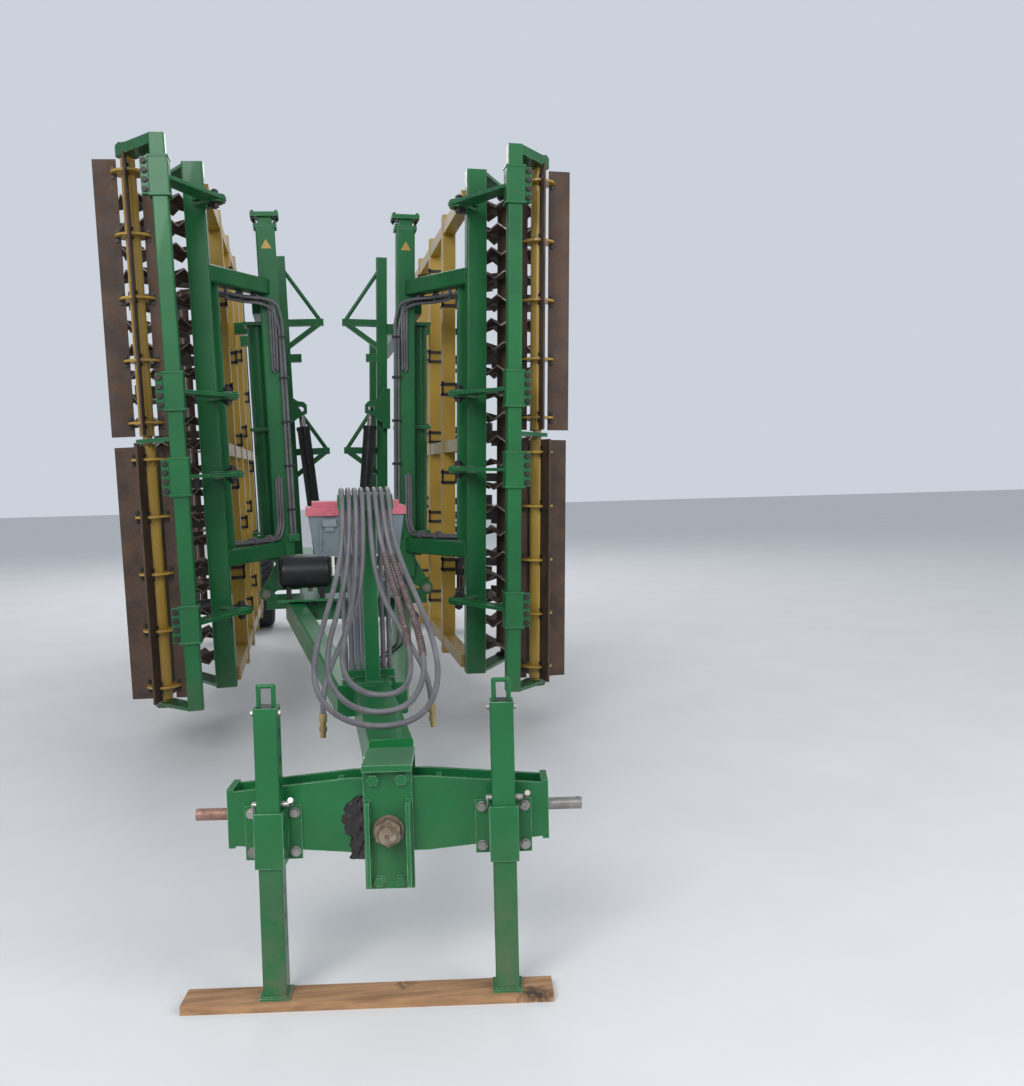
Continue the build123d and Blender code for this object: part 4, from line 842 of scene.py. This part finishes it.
# Brake valve: capped ports on top, two at the left, three in front, and two pipes from the front. They run
# along the right V beam's top, where x and z grow with y, then to the bulkhead.
valveSettings = {
    "top": ((0.24, -0.735, 1.01), (0.285, -0.715, 1.01), (0.262, -0.665, 1.01), (0.312, -0.68, 1.01)),
    "capHeight": 0.022, "capRadius": 0.016, "stemHeight": 0.038, "stemRadius": 0.009,
    "leftYZ": ((-0.7, 0.9), (-0.7, 0.96)), "leftX": 0.215, "leftEnds": (0.19, 0.185),
    "leftRadius": 0.015, "front": ((0.245, -0.76, 0.885), (0.295, -0.76, 0.885), (0.3, -0.76, 0.955)),
    "frontDepth": 0.024, "frontRadius": 0.013, "pipes": ((0.245, -0.012), (0.295, 0.012)),
    "pipeYZ": ((-0.784, 0.885), (-0.86, 0.885)), "beam": (0.1, -2.9, 0.6865),
    "beamGrowth": (0.1038, 0.0508), "onBeamY": (-0.96, -1.1, -2.15),
    "bulkhead": ((0.052, -2.5, 0.706), (0.046, -2.7, 0.7)), "bend": 0.05, "pipeRadius": 0.006}


def valveDetails(s):
    top, left = s["top"], [(s["leftX"], *yz) for yz in s["leftYZ"]]
    made = rods(top, [(x, y, z + s["capHeight"]) for x, y, z in top], s["capRadius"], 6)
    made += rods(top, [(x, y, z + s["stemHeight"]) for x, y, z in top], s["stemRadius"], 16)
    made += rods(left, [(x, y, z) for x, (y, z) in zip(s["leftEnds"], s["leftYZ"])], s["leftRadius"], 6)
    make("valveCaps", made, "bright_steel", "chassis")
    made = rods(s["front"], [(x, y - s["frontDepth"], z) for x, y, z in s["front"]], s["frontRadius"], 6)
    make("valvePorts", made, "bright_steel", "chassis")
    (startX, startY, startZ), (growX, growZ) = s["beam"], s["beamGrowth"]
    made = []
    for x, off in s["pipes"]:
        onBeam = [(startX + growX * (y - startY) + off, y, startZ + growZ * (y - startY))
                  for y in s["onBeamY"]]
        route = [(x, *yz) for yz in s["pipeYZ"]] + onBeam + [(a + off, b, c) for a, b, c in s["bulkhead"]]
        made += swept(rounded(route, s["bend"]), s["pipeRadius"], 10)
    make("valvePipes", made, "black_paint", "chassis", smooth=True)


valveDetails(valveSettings)

# Chassis: nuts on the wings' hinge pins and the fold cylinders' lower pins, bolts on the front beam
chassisSettings = {
    "hingeY": (-0.25, 2.75), "hingeHalf": 0.047, "hingeNut": 0.042, "foldPin": (0.15, 0.838, 0.9),
    "foldNut": 0.032, "beamX": (-0.27, -0.215, 0.215, 0.27), "beamY": -0.62, "beamZ": (0.69, 0.77),
    "beamBolt": 0.022}


def chassisDetails(s):
    for name, side in sides.items():
        made = []
        for y in s["hingeY"]:
            for facing in (-1, 1):
                spot = (side * placing["hingeX"], y + facing * s["hingeHalf"], placing["hingeZ"])
                made += bolts([spot], (0, facing, 0), s["hingeNut"])
        x, y, z = s["foldPin"]
        made += bolts([(side * x, y, z)], (0, -1, 0), s["foldNut"])
        make("hingeNuts_" + name, made, "worn_steel", "chassis")
    spots = [(x, s["beamY"], z) for x in s["beamX"] for z in s["beamZ"]]
    make("beamBolts", bolts(spots, (0, -1, 0), s["beamBolt"]), "dark_steel", "chassis")


chassisDetails(chassisSettings)
print("chassis done")

# Wheels: tyres with tread blocks between grooves, wheel bolts and a hub cap. Tread: an angle's phase plus
# the slanted width's; a groove is where it is past the block's share, or near the line round each side. The
# radius is the crown's, less the depth in a groove, fading out at the shoulder.
wheelSettings = {
    "centre": (0.8, 4.0525, 0.435), "crownHalf": 0.15, "crownFall": 0.006, "across": 41, "around": 288,
    "flank": ((0.168, 0.29), (0.186, 0.312), (0.199, 0.345), (0.199, 0.375), (0.19, 0.402), (0.174, 0.42),
              (0.16, 0.428)),
    "blocks": 36, "depth": 0.011, "slant": 9, "blockShare": 0.72, "lineAt": 0.052, "lineHalf": 0.007,
    "shoulder": 0.172, "fade": 0.012, "bolts": 8, "boltX": 0.85, "boltCircle": 0.138, "bolt": 0.026,
    "boltEnd": 0.01, "capX": 0.93, "cap": ((0, 0.062), (0.014, 0.06), (0.024, 0.05), (0.028, 0.03))}


def tyreMesh(name, side, s):
    x, y, z = s["centre"]
    half, flank = s["crownHalf"], list(s["flank"])
    crown = [(a, z - s["crownFall"] * (a / half) ** 2) for a in np.linspace(half, -half, s["across"])]
    section = np.array(flank + crown + [(-a, r) for a, r in reversed(flank)])
    turn = turns(s["around"])
    wide, r = section[:, 0][:, None], section[:, 1][:, None]
    phase = (turn[None] * s["blocks"] / (2 * np.pi) + np.abs(wide) * s["slant"]) % 1
    onCrown = np.clip((s["shoulder"] - np.abs(wide)) / s["fade"], 0, 1)
    groove = np.maximum(phase > s["blockShare"], np.abs(np.abs(wide) - s["lineAt"]) < s["lineHalf"])
    r = r - s["depth"] * groove * onCrown
    points = np.stack([np.broadcast_to(wide, r.shape), r * np.cos(turn)[None], r * np.sin(turn)[None]], -1)
    verts = points.reshape(-1, 3) + (side * x, y, z)
    made = [(verts, gridFaces(*r.shape, True))]
    obj = make("tyreTread_" + name, made, "tyre", "wheel_" + name, smooth=True)
    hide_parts("tyre_" + name)


def wheelBolts(name, side, s):
    y, z = s["centre"][1:]
    out = s["boltCircle"]
    circle = [(side * s["boltX"], y + out * math.cos(a), z + out * math.sin(a)) for a in turns(s["bolts"])]
    made = bolts(circle, (side, 0, 0), s["bolt"], shank=s["boltEnd"])
    made += lathe(s["cap"], (side * s["capX"], y, z), (side, 0, 0), 40)
    make("wheelBolts_" + name, made, "bright_steel", "wheel_" + name, smooth=True)


for name, side in sides.items():
    tyreMesh(name, side, wheelSettings)
    wheelBolts(name, side, wheelSettings)

# Fold cylinders: a gland ring near the barrel's open end and two port bosses in front. Distances run from
# the lower pin to the rod's eye, those of the gland and the far port back from the barrel's end.
foldSettings = {
    "base": (0.15, 0.9, 0.9), "eye": (0.229, 0.9, 2.045), "endShort": 0.13, "glandBack": 0.03,
    "gland": ((0, 0.0475), (0, 0.052), (0.026, 0.052), (0.026, 0.0475)), "portAt": 0.105, "portBack": 0.075,
    "portY": (-0.04, -0.064), "port": 0.016}


def foldDetails(name, side, s):
    base = np.array(s["base"]) * (side, 1, 1)
    run = np.array(wingPlaces[name] @ Vector(s["eye"])) - base
    end = np.linalg.norm(run) - s["endShort"]
    run /= np.linalg.norm(run)
    made = lathe(s["gland"], base + run * (end - s["glandBack"]), run, 48, True)
    for at in (s["portAt"], end - s["portBack"]):
        start, stop = (base + run * at + (0, y, 0) for y in s["portY"])
        made += rods(start, stop, s["port"], 6)
    make("cylinderPorts_" + name, made, "black_paint", "fold_barrel_" + name, smooth=True)


for name, side in sides.items():
    foldDetails(name, side, foldSettings)
print("wheels and fold cylinders done")

# Old grease thrown out beside the centre plate: rows of points from the plate's edge leftwards and back
# behind the crossbar's face. A row is as wide as a lens, widest at a share of its height and blunt below,
# made uneven by waves of an amount, pace and phase. Its thickness falls with the fourth power of the way
# out, made lumpy by waves of an amount and two paces, outwards and upwards.
greaseSettings = {
    "edge": -0.0745, "height": (0.417, 0.612), "width": 0.064, "leastWidth": 0.001, "widest": 0.62,
    "blunt": -0.75, "waves": ((0.07, 31, 1), (0.05, 67, 0)), "thickness": 0.009, "even": 0.72,
    "lumps": ((0.2, 9, 23), (0.08, -14, 38)), "over": 0.0006, "under": 0.0005, "rows": 48, "steps": 16}


def greasePatch(s):
    share = np.linspace(0, 1, s["rows"])[:, None]
    lens = np.sqrt(1 - np.clip((share - s["widest"]) / (1 - s["widest"]), s["blunt"], 1) ** 2)
    uneven = sum((a * np.sin(pace * share + phase) for a, pace, phase in s["waves"]), 1)
    width = s["width"] * lens * uneven + s["leastWidth"]
    low, high = s["height"]
    out = np.linspace(0, 1, s["steps"])[None]
    lumps = sum((a * np.sin(b * out + c * share) for a, b, c in s["lumps"]), s["even"])
    z = low + (high - low) * share + 0 * out
    face = headSettings["face"]
    thick = s["thickness"] * (1 - out ** 4) * lumps
    front = np.stack([s["edge"] - width * out, face - thick - s["over"], z], -1)
    back = np.stack([s["edge"] - width * out[:, ::-1], face + s["under"] + 0 * z, z], -1)
    rings = np.concatenate([front, back], axis=1)
    made = [(rings.reshape(-1, 3), gridFaces(*rings.shape[:2]))]
    make("greasePatch", made, "old_grease", *onHead, smooth=True, slotName="black_paint")


greasePatch(greaseSettings)
print("details done")

# Stage: pale floor, soft sky light and three large area lights. A light is its place, aim, power and size.
stageSettings = {
    "size": 80, "floor": 0.6, "floorRough": 0.8, "grain": (0.94, 1.04), "grainScale": 1.6,
    "sky": (0.8, 0.86, 0.95), "skyPower": 0.75, "lights": {
        "keyLight": ((-3.5, -10.5, 6), (0, -4.2, 0.5), 560, 4),
        "fillLight": ((5.5, -9, 5), (0, -3.5, 0.8), 330, 5),
        "backLight": ((0, 9, 9), (0, 1, 1.5), 560, 7)}}


def makeStage(s):
    bpy.ops.mesh.primitive_plane_add(size=s["size"], location=(0, 0, 0))
    floor = bpy.context.object
    floor.name = "floor"
    look = bpy.data.materials.new("floorLook")
    look.use_nodes = True
    tree = look.node_tree
    where = addNode(tree, "TexCoord", {}).outputs["Object"]
    grain = addNode(tree, "TexNoise", {"Vector": where, "Scale": s["grainScale"]}).outputs["Fac"]
    low, high = (s["floor"] * share for share in s["grain"])
    tone = addNode(tree, "MapRange", {"Value": grain, "To Min": low, "To Max": high}).outputs["Result"]
    feed(tree, tree.nodes["Principled BSDF"], {"Base Color": tone, "Roughness": s["floorRough"]})
    floor.data.materials.append(look)
    world = bpy.data.worlds.new("sky")
    world.use_nodes = True
    back = world.node_tree.nodes["Background"]
    back.inputs["Color"].default_value = (*s["sky"], 1)
    back.inputs["Strength"].default_value = s["skyPower"]
    bpy.context.scene.world = world
    for name, (place, aim, power, size) in s["lights"].items():
        data = bpy.data.lights.new(name, "AREA")
        data.energy = power
        data.size = size
        lamp = bpy.data.objects.new(name, data)
        lamp.location = place
        lamp.rotation_euler = (Vector(aim) - Vector(place)).to_track_quat("-Z", "Y").to_euler()
        bpy.context.scene.collection.objects.link(lamp)


makeStage(stageSettings)
bpy.context.scene.view_settings.view_transform = "Standard"
print("stage done")
